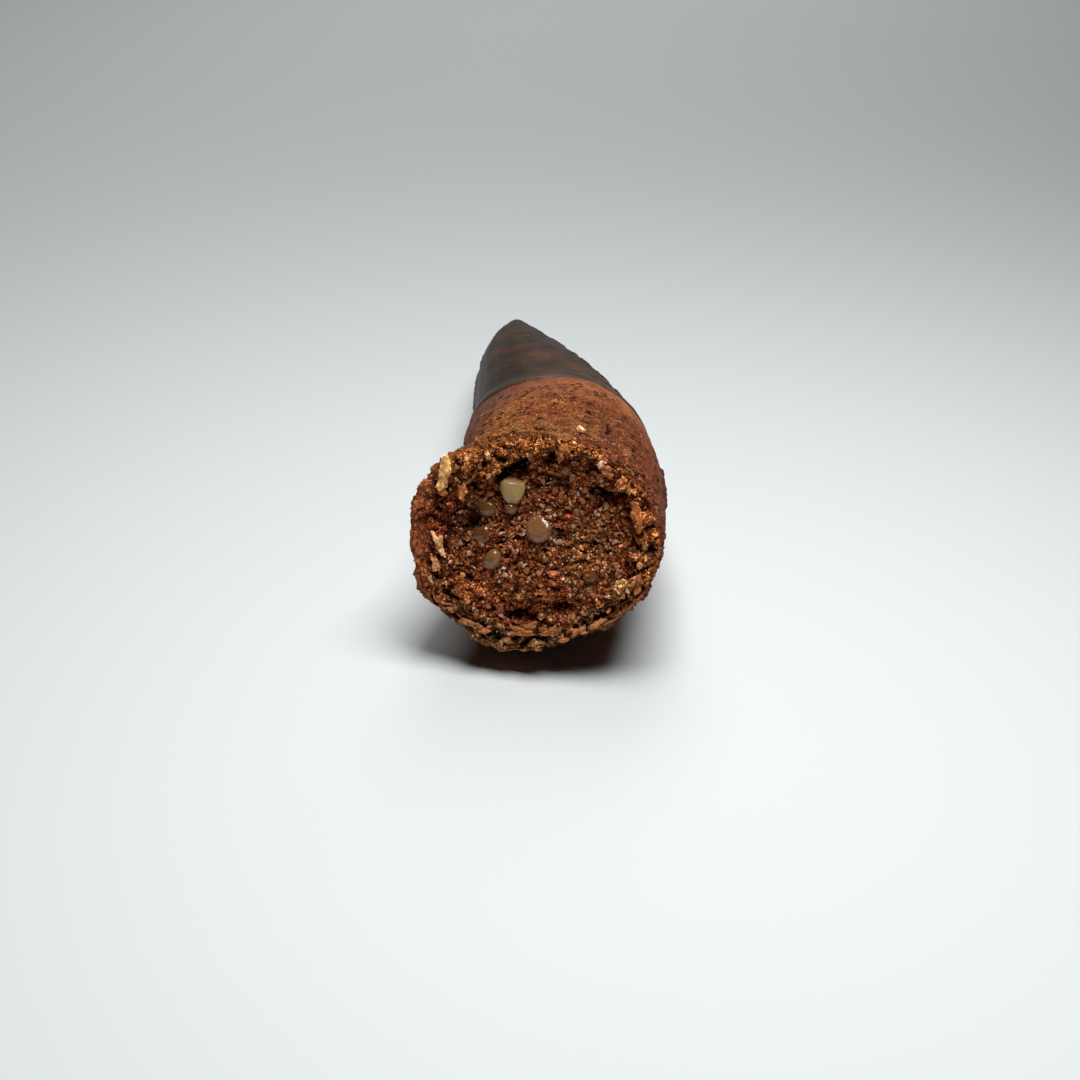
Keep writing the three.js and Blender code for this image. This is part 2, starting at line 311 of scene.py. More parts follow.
def ringMesh(name, points, attributes):
    rings, segments = points.shape[:2]
    vertices = [points[0, 0]] + list(points[1:-1].reshape(-1, 3)) + [points[-1, 0]]
    last = len(vertices) - 1
    index = 1 + np.arange((rings - 2) * segments).reshape(rings - 2, segments)
    turned = np.roll(index, -1, axis=1)
    quads = np.stack([index[:-1], index[1:], turned[1:], turned[:-1]], -1).reshape(-1, 4)
    faces = [(0, int(a), int(b)) for a, b in zip(index[0], turned[0])]
    faces += quads.tolist()
    faces += [(last, int(b), int(a)) for a, b in zip(index[-1], turned[-1])]
    mesh = bpy.data.meshes.new(name)
    mesh.from_pydata(np.array(vertices).tolist(), [], faces)
    for label, values in attributes.items():
        flat = np.concatenate([values[:1, 0], values[1:-1].reshape(-1, *values.shape[2:]), values[-1:, 0]])
        if values.ndim == 3:
            colourLayer(mesh, label, flat)
        else:
            layer = mesh.attributes.new(label, "FLOAT", "POINT")
            layer.data.foreach_set("value", flat.astype(np.float32))
    mesh.polygons.foreach_set("use_smooth", np.ones(len(mesh.polygons), bool))
    mesh.update()
    faceOut(mesh)
    return addObject(name, mesh)


def faceOut(mesh):
    shell = bmesh.new()
    shell.from_mesh(mesh)
    bmesh.ops.recalc_face_normals(shell, faces=shell.faces)
    shell.to_mesh(mesh)
    shell.free()


def gridNormals(points):
    along = np.gradient(points, axis=0)
    wrapped = np.concatenate([points[:, -1:], points, points[:, :1]], axis=1)
    around = (wrapped[:, 2:] - wrapped[:, :-2]) / 2
    normal = np.cross(around, along)
    length = np.linalg.norm(normal, axis=-1, keepdims=True)
    return normal / np.maximum(length, 1e-9)


def srgb(red, green, blue):
    values = np.array([red, green, blue]) / 255
    return np.where(values <= 0.04045, values / 12.92, ((values + 0.055) / 1.055) ** 2.4)


def mixColour(under, over, amount):
    return under + (over - under) * amount[..., None]


def layOver(tint, colours, layers):
    for name, amount in layers:
        tint = mixColour(tint, colours[name], amount)
    return tint


root = {
    "segments": 640,
    "outerRings": 90,
    "rimRings": 52,
    "cavityRings": 8,
    "underCrown": 1.6,  # how far it goes on under the enamel
    # places on the broken face, as parts of its half width and height: x, y, reach, height
    "flakes": [(-0.72, 0.53, 0.12, 0.5), (-0.72, -0.18, 0.1, 0.35), (-0.55, 0.39, 0.08, 0.4),
               (0.05, -0.97, 0.16, 0.45), (0.8, -0.42, 0.13, 0.3), (0.78, 0.3, 0.1, 0.2)],
    # tears in the broken wall, darkened with painted shade: x, y, half length, half width, turn, depth
    "tears": [(-0.52, 0.28, 0.06, 0.03, -50, 0.8), (-0.33, 0.72, 0.07, 0.03, -30, 0.8),
              (-0.02, 0.79, 0.13, 0.035, 40, 1.2), (0.6, -0.62, 0.12, 0.03, 35, 0.8),
              (0.74, -0.48, 0.05, 0.035, 80, 0.8), (-0.6, -0.6, 0.1, 0.025, -40, 0.6),
              (-0.33, -0.88, 0.08, 0.025, -10, 0.6), (0.13, -0.9, 0.08, 0.03, 0, 0.9),
              (0.36, -0.8, 0.08, 0.03, 25, 0.8), (0.28, 0.84, 0.1, 0.03, -12, 0.7),
              (-0.97, -0.02, 0.03, 0.12, 0, 0.4)],
    "colours": {
        "body": srgb(140, 77, 38),
        "salmon": srgb(154, 88, 53),
        "plum": srgb(112, 70, 55),
        "ochre": srgb(164, 100, 44),
        "red": srgb(136, 68, 38),
        "ruddy": srgb(150, 62, 28),
        "skin": srgb(206, 116, 70),
        "rim": srgb(222, 134, 70),
        "rimRed": srgb(196, 94, 52),
        "rimTan": srgb(246, 188, 122),
        "deep": srgb(56, 17, 6),
        "edge": srgb(168, 112, 70),
    },
}


def blurRows(values, sigma):
    row = np.arange(len(values))
    weight = np.exp(-0.5 * ((row[:, None] - row[None, :]) / np.maximum(sigma, 0.05)[:, None]) ** 2)
    weight /= weight.sum(axis=1, keepdims=True)
    return np.tensordot(weight, values, axes=1)


def strokes(x, y, points, marks, seed):
    total = 0 * x
    waver = 0.7 * softNoise(points, 0.9, seed)
    for mx, my, longHalf, wideHalf, turn, depth in marks:
        c, n = math.cos(math.radians(turn)), math.sin(math.radians(turn))
        u = ((x - mx) * c + (y - my) * n) / longHalf
        v = ((y - my) * c - (x - mx) * n) / wideHalf + waver
        total = total + depth * np.exp(-(u ** 4) - v * v)
    return total


# Painted shade round each chip, strongest below it; the callers also sink a shallow groove there.
def gapShadeBeside(x, y, chips):
    dark = 0 * x
    for cx, cy, _, size, turn, _ in chips:
        c, n = math.cos(math.radians(turn)), math.sin(math.radians(turn))
        dx = (x - cx) * toothShape["rootHalfWidth"]
        dy = (y - cy) * toothShape["rootHalfWidth"] * toothShape["heightToWidth"]
        ring = np.hypot((dx * c + dy * n) / size[0], (dy * c - dx * n) / size[1])
        under = np.clip(0.6 - 0.5 * (dy + dx * 0.3) / max(size[:2]), 0.2, 1)
        dark = np.maximum(dark, bell(ring - 1.15, 0.3) * under)
    return dark


def cornerSize(angle, wall):
    top = towards(angle, 92, 50)
    low = towards(angle, -145, 35)
    return 0.8 + 3.0 * top - 0.4 * low, np.minimum(0.5 + 1.6 * top - 0.25 * low, 0.8 * wall)


def cornerArc(angle, wall, turn):
    behind, inward = cornerSize(angle, wall)
    return behind * (1 - np.sin(turn)), inward * (1 - np.cos(turn))


def wallAt(angle):
    edge = 1 + sumOfLobes(toothShape["rimLobes"], angle)
    inner = cavityReach(0 * angle, angle)
    return edge, inner, (edge - inner) * faceHalf


def wornDepth(x, y):
    angle = np.array([math.degrees(math.atan2(y, x))])
    edge, inner, wall = wallAt(angle)
    inward = cornerSize(angle, wall)[1]
    reached = (edge - math.hypot(x, y)) * faceHalf
    turn = np.pi / 2 - np.clip(1 - reached / inward, 0, 1) * np.pi / 4
    return float(cornerArc(angle, wall, turn)[0][0]) if math.hypot(x, y) > inner[0] else 0.0


def rootSurface():
    t = toothShape
    angle = np.linspace(0, 360, root["segments"], endpoint=False)[None, :]
    hidden = (crownEdge(angle) + root["underCrown"]) / t["length"]
    part = np.linspace(1, 0, root["outerRings"])[:, None]
    along = hidden * part ** 1.25
    sunk = -0.35 * smoothStep(along * t["length"] - crownEdge(angle), 0.0, 0.5)
    edge, inner, wall = wallAt(angle)
    behind, inward = cornerSize(angle, wall)
    turn = np.clip(1 - along * t["length"] / behind, 0, 1) * np.pi / 4
    back, sideways = cornerArc(angle, wall, turn)
    outer = outerPoint(np.where(turn > 0, back / t["length"], along), angle + 0 * along, sunk - sideways)

    part = np.linspace(1, 0, root["rimRings"])[1:, None]
    reach = inner + (edge - inner) * part
    x = reach * cosOf(angle)
    y = reach * sinOf(angle)
    left = np.clip(1 - (edge - reach) * faceHalf / inward, 0, 1)
    back, sideways = cornerArc(angle, wall, np.pi / 2 - left * np.pi / 4)
    arc = outerPoint(back / t["length"], angle + 0 * x, -sideways)
    rim = np.where(left[..., None] > 0, arc, sectionPoint(np.zeros_like(x), x, y))
    flakes = sum(height * bell(np.hypot(x - fx, y - fy), spread) for fx, fy, spread, height in root["flakes"])
    tears = strokes(x, y, rim, root["tears"], 53)
    gapShade = gapShadeBeside(x, y, faceChips)
    rim = rim + outOfFace * flakes[..., None]

    inside = (np.linspace(0, 1, root["cavityRings"] + 1)[1:, None] ** 1.8) * t["cavityLength"]
    cavity = cavityPoint(inside + 0 * angle, angle + 0 * inside)
    bare = np.concatenate([outer, rim, cavity])

    bare = blurRows(bare, 3.0 * bell(np.arange(len(bare)) - root["outerRings"], 25.0))

    closing = axisPoint(hidden.mean(axis=1))[0][None, None, :].repeat(root["segments"], axis=1)
    points = np.concatenate([closing, bare])
    count = [1, root["outerRings"], root["rimRings"] - 1, root["cavityRings"]]
    zone = np.repeat(np.arange(4), count)[:, None] + 0 * angle
    zero = 0 * angle

    def rows(*parts):
        return np.concatenate([values + zero for values in parts])

    where = {
        "points": points,
        "zone": zone,
        "along": rows(hidden * t["length"], along * t["length"], 0 * x, inside * t["length"]),
        "across": rows(zero + 1, 0 * along + 1, part, 0 * inside),
        "tears": rows(zero, 0 * along, tears, 0 * inside),
        "gapShade": rows(zero, 0 * along, gapShade, 0 * inside),
    }
    where["angle"] = angle + 0 * where["along"]
    where["toCrown"] = crownEdge(where["angle"]) - where["along"]
    return where


def rootRelief(w):
    points, angle, toCrown, across = w["points"], w["angle"], w["toCrown"], w["across"]
    left = towards(angle, 160, 34)
    onRim = smoothStep(1 - across, 0.02, 0.35) * (w["zone"] >= 2)
    outside = w["zone"] <= 1
    patchy = 2.4 * softNoise(points, 3.2, 13) + 1.2 * softNoise(points, 1.2, 14)
    smoothBand = np.where(outside, 1 - smoothStep(toCrown + patchy, 2.4 + 2.2 * left, 8.4 + 1.6 * left), 0)
    side = 0.55 * towards(angle, 12, 30) * smoothStep(w["along"], 0.5, 4)
    patch = towards(angle, 85, 9) * bell(w["along"] - 0.8, 1.2) * outside
    grainy = (1 - smoothBand) * (1 - side) * (1 - 0.8 * patch)
    near = np.exp(-w["along"] / (0.2 * toothShape["length"]))
    relief = 0.2 * near * softNoise(points, 2.6, 3)
    skin = towards(angle, 182, 32) * smoothStep(across, 0.3, 0.6)
    skin = np.maximum(skin, towards(angle, -6, 26) * smoothStep(across, 0.7, 0.9)) * (w["zone"] == 2)
    blocks, _, edge = brokenNoise(points, 1.7, 211)
    smallBlocks, _, smallEdge = brokenNoise(points, 0.8, 231)
    nearBreak = np.where(outside, np.exp(-w["along"] / 5.0), 0)
    smoothSide = towards(angle, 190, 42) * outside
    torn = grainy * (0.7 + 0.7 * nearBreak) * (1 - 0.6 * smoothSide)
    relief += torn * (0.3 * blocks + 0.3 * smallBlocks - 0.12 * (1 - smoothStep(smallEdge, 0, 0.3)))
    drawn = ringPoint(angle, 9, 2.2 * toCrown)
    wisps = (softNoise(drawn, 1.5, 33) + 0.6 * softNoise(drawn, 0.7, 34)) * outside
    relief += 0.2 * torn * wisps
    # fine furrows that run round the tooth beside the enamel
    waver = softNoise(points, 3.0, 31)
    furrow = 0.032 * np.sin(2 * np.pi * (toCrown / 1.15 + 0.7 * waver))
    furrow += 0.014 * np.sin(2 * np.pi * (toCrown / 0.43 + 1.3 * waver))
    relief += smoothBand * (0.45 + 1.3 * left) * furrow * outside
    relief += 0.22 * bell(toCrown - 5.2 - 1.5 * waver, 0.5) * towards(angle, 142, 18) * outside
    cluster = 0.55 + 1.3 * softNoise(points, 2.2, 43)
    pores = 0.95 * bell(toCrown - 5.0, 3.2) * towards(angle, 84, 52) + 0.7 * bell(toCrown - 11, 7)
    pores = cluster * pores * outside
    # the broken wall: torn blocks, pits and thin layers
    onRim = onRim * (1 - 0.9 * skin)
    relief += onRim * (0.5 * blocks + 0.42 * smallBlocks - 0.16 * (1 - smoothStep(edge, 0, 0.22)))
    relief += onRim * 0.3 * softNoise(points, 2.6, 5)
    pit = smoothStep(softNoise(points, 1.1, 47), 0.34, 0.5) * onRim
    relief -= w["tears"] + 0.45 * pit + 0.22 * w["gapShade"]
    layered = np.maximum(towards(angle, -138, 22), 0.7 * towards(angle, -36, 16))
    stair = (across * 3.4 + 1.8 * softNoise(points, 1.9, 61) + 0.5 * softNoise(points, 0.7, 62)) % 1
    relief += onRim * layered * 0.2 * (stair - 0.5) * smoothStep(across, 0.35, 0.55)
    relief = np.where(w["zone"] == 3, 0.5 * relief, relief * smoothStep(toCrown, -0.4, 0.5))
    scab = towards(angle, 9, 6) * bell(w["along"] - 11, 4.5) * outside
    relief += 0.25 * smoothStep(scab + 0.25 * waver, 0.4, 0.6)
    w.update(relief=relief, blocks=blocks, wisps=wisps, pores=np.clip(pores, 0, 1), onRim=onRim,
             smoothBand=smoothBand, left=left, grainy=grainy, torn=torn, smoothSide=smoothSide, edge=edge,
             smallEdge=smallEdge, layered=layered, stair=stair, scab=scab, pit=pit, patch=patch, skin=skin)


def rootColours(w):
    c = root["colours"]
    points, angle, toCrown, onRim = w["points"], w["angle"], w["toCrown"], w["onRim"]
    broad = softNoise(points, 4.5, 71)
    middle = softNoise(points, 1.6, 72)
    fine = softNoise(points, 0.5, 73)
    line = np.sin(2 * np.pi * (toCrown / 0.9 + 1.1 * softNoise(points, 3.0, 31)))
    tint = c["body"] + 0 * points

    def lay(name, amount):
        nonlocal tint
        tint = mixColour(tint, c[name], np.clip(amount, 0, 1))

    lay("ochre", towards(angle, 118, 36) * smoothStep(toCrown, 4, 9) * (1 + 0.8 * middle) + 0.3 * broad)
    lay("red", towards(angle, 14, 34) * smoothStep(toCrown, 2, 7) + 0.55 * middle)
    lay("ruddy", 0.8 * towards(angle, 98, 12) * bell(toCrown - 12.4 - 2 * middle, 2.0) + 1.2 * fine * middle)
    salmon = 0.9 * bell(toCrown - 1.2, 3.9) * (1 - 0.85 * w["left"]) * (1 + 0.9 * middle + 0.5 * broad)
    lay("salmon", salmon + 0.12 * line * w["smoothBand"])
    lay("edge", 0.6 * towards(angle, 40, 26) * bell(toCrown - 3 - broad, 1.8) * (0.6 + 0.8 * line))
    lay("plum", towards(angle, 152, 44) * w["smoothBand"] * (1.1 + 0.6 * middle))
    lay("edge", w["left"] * w["smoothBand"] * (0.5 * line - 0.1))
    lay("edge", 0.75 * bell(toCrown - 5.2 - 1.5 * softNoise(points, 3.0, 31), 0.4) * towards(angle, 142, 18))
    lay("rim", onRim)
    lay("rimRed", onRim * (1.1 * towards(angle, 180, 34) + 0.9 * broad + 0.5 * middle))
    lay("rimTan", onRim * (0.6 * towards(angle, -80, 48) + 0.9 * fine + 0.7 * middle - 0.12))
    lay("edge", 0.5 * w["patch"])
    lay("skin", 0.85 * w["skin"])
    # painted shade in the tears, the pits and the grooves round the chips
    lay("deep", 0.8 * smoothStep(w["tears"], 0.25, 0.7) + 0.7 * w["pit"] + 0.75 * w["gapShade"] * onRim)
    # painted shade in the joints between the torn blocks, weaker on the top where the light falls, and
    # between the small blocks outside
    onTop = towards(angle, 100, 60)
    joints = 0.55 * onRim * (1 - 0.6 * onTop) * (1 - smoothStep(w["edge"], 0.02, 0.2))
    lay("deep", joints + 0.4 * w["torn"] * (1 - smoothStep(w["smallEdge"], 0, 0.25)))
    lay("deep", onRim * w["layered"] * smoothStep(w["stair"], 0.82, 0.95) * 0.8)
    lay("deep", 0.6 * smoothStep(w["scab"], 0.35, 0.5))
    lay("deep", 1.3 * w["torn"] * np.clip(-w["wisps"] - 0.2, 0, 0.5))
    lay("edge", 1.1 * w["torn"] * np.clip(w["wisps"] - 0.12, 0, 0.7))
    # painted shade: the underside of the root is darkened
    under = towards(angle, -90, 55) * (w["zone"] <= 1)
    lay("deep", 0.75 * under)
    # painted light and shade on the broken rim: brighter at the right, top and left, darker at the bottom
    lighter = 0.45 * towards(angle, 15, 42) + 0.35 * towards(angle, 85, 36)
    lighter += 0.2 * towards(angle, 180, 25) - 0.4 * towards(angle, -88, 48)
    mottleAndPaintedLight = 0.94 + 0.06 * onRim + 0.35 * fine + 0.3 * middle
    mottleAndPaintedLight = mottleAndPaintedLight + 0.2 * w["torn"] * w["blocks"] + onRim * lighter
    return np.clip(tint * mottleAndPaintedLight[..., None], 0, 0.95)


def makeRoot():
    w = rootSurface()
    rootRelief(w)
    points = w["points"]
    normals = gridNormals(points)
    row = 2 * root["outerRings"] // 3  # any row on the outside tells which way the normals point
    outward = np.sum(normals[row] * (points[row] - points[row].mean(axis=0)), axis=-1).mean()
    moved = points + normals * np.sign(outward) * w["relief"][..., None]
    moved[0] = points[0]
    crust = w["grainy"] * (0.2 + 0.8 * np.exp(-w["along"] / 6.0)) * smoothStep(w["toCrown"], 2.5, 6)
    crust = crust * (1 - 0.7 * w["smoothSide"]) * 0.14
    amount = np.where(w["zone"] == 2, 1 - 0.92 * w["skin"], np.where(w["zone"] == 3, 0.0, crust))
    broken = np.maximum(w["onRim"], 0.5 * np.minimum(w["torn"], 1))
    loose = np.clip(0.45 + 0.5 * towards(w["angle"], -85, 70) + 0.9 * softNoise(points, 2.2, 49), 0, 1)
    flaky = w["onRim"] * (w["zone"] == 2) * (1 - w["skin"]) * loose
    carried = {"tint": rootColours(w), "grainAmount": amount, "broken": broken, "pores": w["pores"],
               "flakeAmount": flaky}
    return ringMesh("toothRoot", toFrame(moved), carried)


crown = {
    "segments": 320,
    "rings": 120,
    "fluteDepth": 0.03,
    "colours": {
        "body": srgb(54, 40, 29),
        "pale": srgb(70, 55, 41),
        "warm": srgb(80, 50, 32),
        "lip": srgb(112, 88, 66),
        "tip": srgb(37, 28, 20),
        "streak": srgb(98, 50, 36),
    },
}


def crownRelief(along, angle, points):
    t = toothShape
    past = along * t["length"] - crownEdge(angle)
    onCrown = smoothStep(past / 0.5, 0, 8) * smoothStep(1 - along, 0, 0.1)
    fromCarina = np.abs(angleBetween(2 * angle, 0)) / 2
    flutes = crown["fluteDepth"] * cosOf(t["fluteCount"] * angle + 25 * softNoise(points, 14, 81))
    flutes = flutes * (1 - bell(fromCarina, 14)) * (0.6 + 0.5 * softNoise(points, 9, 82))
    nick = sum(depth * bell(along - at, reach) * (np.abs(angleBetween(angle, side)) < 90)
               for side, at, reach, depth in t["nicks"])
    side = np.where(np.abs(angleBetween(angle, 0)) < 90, 0, 50)
    ledge = np.stack([along * t["length"], side + 0 * along, 0 * along], -1)
    teeth = 0.04 * np.sin(2 * np.pi * along * t["length"] / 0.62)
    teeth = teeth + 0.34 * np.minimum(softNoise(ledge, 0.8, 87), 0.1)
    carina = (t["carinaHeight"] - nick + teeth) * bell(fromCarina, t["carinaHalfAngle"])
    chewed = 0.9 * (np.clip(softNoise(points, 1.3, 88), 0.06, 0.3) - 0.06) * towards(angle, 30, 26)
    wrinkle = chewed + 0.02 * np.sin(2 * np.pi * (past / 1.5 + 0.8 * softNoise(points, 5, 83)))
    flaws = 0.02 * softNoise(points, 1.4, 84) + 0.06 * softNoise(points, 4.5, 85)
    return onCrown * (flutes + carina - t["crownInset"] + wrinkle) + flaws


def makeCrown():
    t = toothShape
    angle = np.linspace(0, 360, crown["segments"], endpoint=False)[None, :]
    start = crownEdge(angle) / t["length"]
    part = np.linspace(0, 1, crown["rings"])[:, None]
    along = start + (1 - start) * (1 - (1 - part) ** 1.35)
    full = angle + 0 * along
    base = outerPoint(along, full)
    past = along * t["length"] - crownEdge(angle)
    lip = t["enamelThickness"] * smoothStep(past, -0.05, 0.9)
    height = crownRelief(along, full, base) + lip
    outer = outerPoint(along, full, height)
    outer[-1] = outer[-1].mean(axis=0)
    lowEdge = outerPoint(start, angle, -0.5 + 0 * angle)
    closing = axisPoint(start.mean(axis=1))[0][None, None, :].repeat(crown["segments"], axis=1)
    points = np.concatenate([closing, lowEdge, outer])
    c = crown["colours"]
    allAlong = np.concatenate([start, start, along])
    allAngle = angle + 0 * allAlong
    gone = allAlong * t["length"] - crownEdge(allAngle)
    broad = softNoise(points, 7.0, 91)
    banded = softNoise(ringPoint(allAngle, 2.2, gone / 2.6), 1.0, 93)
    fineBand = softNoise(ringPoint(allAngle, 3, gone / 0.8), 1.0, 94)
    streak = softNoise(ringPoint(allAngle, 4, gone / 4.5), 1.0, 92)
    onTop = towards(allAngle, 88, 40)

    tint = layOver(c["body"] + 0 * points, c, [
        ("tip", smoothStep(allAlong, 0.6, 0.9)),
        ("pale", np.clip(1.1 * banded + 0.3 * fineBand, 0, 0.7)),
        ("warm", np.clip(0.75 * onTop * bell(gone - 4, 9) + 0.9 * broad + 0.4 * streak, 0, 0.85)),
        ("streak", 0.7 * bell(gone - 17 - 2 * banded, 1.2) * towards(allAngle, 112, 24)),
        ("lip", np.clip(bell(gone, 1.7) * (0.7 + 0.8 * broad + 0.5 * fineBand) * (1 - 0.85 * onTop), 0, 1)),
    ])
    tint = tint * (1 + 0.25 * softNoise(points, 0.7, 95) + 0.25 * streak + 0.15 * broad)[..., None]
    return ringMesh("toothCrown", toFrame(points), {"tint": tint})


sandstone = {
    "segments": 400,
    "faceRings": 122,
    "bodyRings": 12,
    "overlap": 0.3,  # the face's edge is cemented into the wall by this much
    "bodyReach": (0.16, 0.44),  # the hidden body behind the face, as fractions of the tooth's length
    "bodyGap": 0.3,
    "depthLow": 0.5,
    "depthHigh": 1.25,
    "relief": 0.4,
    "grain": 3.1,
    # x, y, reach, depth
    "hollows": [(-0.27, 0.63, 0.1, 1.8), (0.05, 0.74, 0.07, 0.8), (0.42, 0.45, 0.1, 0.7),
                (-0.02, -0.72, 0.12, 1.0), (0.27, -0.62, 0.1, 0.7), (-0.5, 0.06, 0.12, 0.8),
                (0.25, -0.42, 0.2, -0.7), (-0.12, -0.1, 0.22, -0.6)],
    # cracks between the lumps, darkened with painted shade: x, y, half length, half width, turn, depth
    "cracks": [(-0.26, 0.63, 0.12, 0.06, 4, 2.8), (0.06, 0.74, 0.1, 0.04, 40, 1.6),
               (0.44, 0.46, 0.1, 0.05, -16, 1.5), (0.62, 0.47, 0.06, 0.05, 60, 1.2),
               (-0.05, -0.76, 0.13, 0.05, -5, 1.6), (0.27, -0.61, 0.1, 0.045, 10, 1.3),
               (-0.52, 0.06, 0.09, 0.06, 70, 1.2), (-0.57, 0.2, 0.05, 0.07, 80, 0.8),
               (-0.5, -0.44, 0.1, 0.045, -25, 0.9), (-0.06, 0.46, 0.05, 0.04, 70, 0.8),
               (0.1, 0.56, 0.1, 0.035, 12, 0.7), (-0.33, 0.52, 0.06, 0.05, 80, 1.0),
               (-0.55, 0.42, 0.06, 0.04, 30, 0.8), (0.22, -0.42, 0.05, 0.03, 20, 0.6)],
    "colours": {
        "body": srgb(194, 106, 58),
        "dark": srgb(80, 28, 11),
        "red": srgb(192, 96, 52),
        "tan": srgb(236, 156, 94),
        "grey": srgb(194, 116, 62),
    },
}


def fillDepth(x, y):
    s = sandstone
    points = sectionPoint(0 * x, x, y)
    depth = s["depthLow"] + (s["depthHigh"] - s["depthLow"]) * smoothStep(y, -0.6, 0.75)
    depth = depth - s["relief"] * softNoise(points, s["grain"], 101)
    depth = depth + sum(d * bell(np.hypot(x - hx, y - hy), r) for hx, hy, r, d in s["hollows"])
    return depth


def fillEdge(angle):
    mouth = cavityReach(0 * angle, angle)
    depth = fillDepth(0.97 * mouth * cosOf(angle), 0.97 * mouth * sinOf(angle))
    along = np.maximum(depth, 0) / toothShape["length"]
    narrowing = halfWidth(along) / faceHalf
    small = faceHalf * toothShape["heightToWidth"]
    return cavityReach(along, angle) * narrowing + sandstone["overlap"] / small


def makeSandstone():
    s = sandstone
    angle = np.linspace(0, 360, s["segments"], endpoint=False)[None, :]
    part = np.linspace(0, 1, s["faceRings"])[:, None] ** 0.8
    reach = part * fillEdge(angle)
    x = reach * cosOf(angle)
    y = reach * sinOf(angle)
    depth = fillDepth(x, y)
    face = sectionPoint(0 * x, x, y) + intoTooth * depth[..., None]
    cracks = strokes(x, y, face, s["cracks"], 102)
    blocks, _, edge = brokenNoise(face, 1.9, 311)
    smallBlocks, _, smallEdge = brokenNoise(face, 0.85, 331)
    first, mark = cellNoise(face, 0.42, 113)
    height = 0.3 * blocks + 0.3 * smallBlocks + 0.26 * (0.5 - first) * (0.4 + mark)
    pit = smoothStep(softNoise(face, 0.9, 117), 0.3, 0.45)
    height = height - 0.18 * (1 - smoothStep(edge, 0, 0.2))
    height = height - 0.12 * (1 - smoothStep(smallEdge, 0, 0.25)) - cracks
    height = height - 0.4 * pit - 0.2 * gapShadeBeside(x, y, faceChips)
    face = face + outOfFace * height[..., None]
    face[0] = face[0].mean(axis=0)
    inside = np.linspace(*s["bodyReach"], s["bodyRings"])[:, None]
    body = cavityPoint(inside + 0 * angle, angle + 0 * inside, s["bodyGap"])
    body[-1] = body[-1].mean(axis=0)
    points = np.concatenate([face, body])

    c = s["colours"]
    broad = softNoise(face, 3.4, 121)
    middle = softNoise(face, 1.2, 122)
    fine = softNoise(face, 0.45, 123)
    tint = layOver(c["body"] + 0 * face, c, [
        ("red", np.clip(0.7 * bell(np.hypot(x + 0.15, y + 0.2), 0.36) + 0.8 * broad, 0, 0.9)),
        ("grey", np.clip(0.9 * bell(np.hypot(x - 0.42, y + 0.1), 0.5) + 0.6 * middle, 0, 1)),
        ("tan", np.clip(1.1 * middle + 0.6 * fine - 0.25, 0, 0.8)),
        # painted shade: darker the deeper the fill lies, along the edges of the lumps and in the pits
        ("dark", np.clip(0.75 * smoothStep(depth + cracks - 0.6 * smallBlocks, 1.5, 3.4), 0, 0.9)),
        ("dark", 0.4 * np.maximum(1 - smoothStep(edge, 0, 0.16), 1 - smoothStep(smallEdge, 0, 0.2))),
        ("dark", 0.6 * pit),
    ])
    # painted light: the fill is made brighter low down, in a band near the top and towards the right
    lighter = 1 + 0.5 * bell(y + 0.6, 0.3) + 0.2 * smoothStep(x, 0.1, 0.6) + 0.25 * bell(y - 0.6, 0.2)
    tint = tint * (0.82 * lighter)[..., None]
    tint = tint * (1 + 0.35 * fine + 0.3 * (mark - 0.5))[..., None]
    tint = np.concatenate([tint, c["dark"] + 0 * body])
    amount = np.concatenate([1 + 0 * x, 0 * (inside + angle)])
    return ringMesh("sandstoneFill", toFrame(points), {"tint": tint, "grainAmount": amount, "broken": amount})


def faceFrame(x, y, turn, proud):
    across = unit(faceAside)
    upward = np.cross(outOfFace, across)
    c, n = math.cos(math.radians(turn)), math.sin(math.radians(turn))
    seat = faceCentre + faceAside * x + faceAbove * y + outOfFace * proud + intoTooth * wornDepth(x, y)
    return seat, np.stack([across * c + upward * n, upward * c - across * n, outOfFace])


def rootFrame(alongMm, angle, turn, proud):
    s = np.array([alongMm, alongMm + 0.1, alongMm]) / toothShape["length"]
    at = outerPoint(s, np.array([angle, angle, angle + 1.0]))
    forward, around = unit(at[1] - at[0]), unit(at[2] - at[0])
    outward = unit(np.cross(forward, around))
    if np.dot(outward, at[0] - axisPoint(s[:1])[0]) < 0:
        outward = -outward
    forward = np.cross(around, outward)
    c, n = math.cos(math.radians(turn)), math.sin(math.radians(turn))
    return at[0] + outward * proud, np.stack([around * c + forward * n, forward * c - around * n, outward])


def ballPoints(detail):
    ball = bmesh.new()
    bmesh.ops.create_icosphere(ball, subdivisions=detail, radius=1)
    points = np.array([v.co for v in ball.verts])
    faces = [[v.index for v in f.verts] for f in ball.faces]
    ball.free()
    return points, faces


def stonePoints(size, seed, flats, roughness, detail=3):
    points, faces = ballPoints(detail)
    rng = random.Random(seed)
    for _ in range(flats):
        facing = unit(np.array([rng.uniform(-1, 1) for _ in range(3)]))
        over = np.maximum(points @ facing - rng.uniform(0.6, 0.9), 0)
        points = points - facing * (0.92 * over)[:, None]
    shift = np.array([seed * 7.3, 0, 0])
    points = points * (1 + roughness * softNoise(points + shift, 0.9, 131))[:, None]
    points = points * (1 + 0.4 * roughness * softNoise(points + shift, 0.35, 132))[:, None]
    return points * np.array(size), faces


def shardPoints(size, seed, detail=3):
    points, faces = ballPoints(detail)
    rng = random.Random(seed)
    reach = np.full(len(points), 1.35)
    for _ in range(13):
        facing = unit(np.array([rng.gauss(0, 1) for _ in range(3)]))
        reach = np.minimum(reach, rng.uniform(0.62, 1.0) / np.maximum(points @ facing, 0.05))
    points = points * reach[:, None]
    shift = points + np.array([seed * 7.3, 0, 0])
    points = points * (1 + 0.22 * softNoise(shift, 0.6, 131) + 0.14 * softNoise(shift, 0.27, 132))[:, None]
    return points * np.array(size), faces


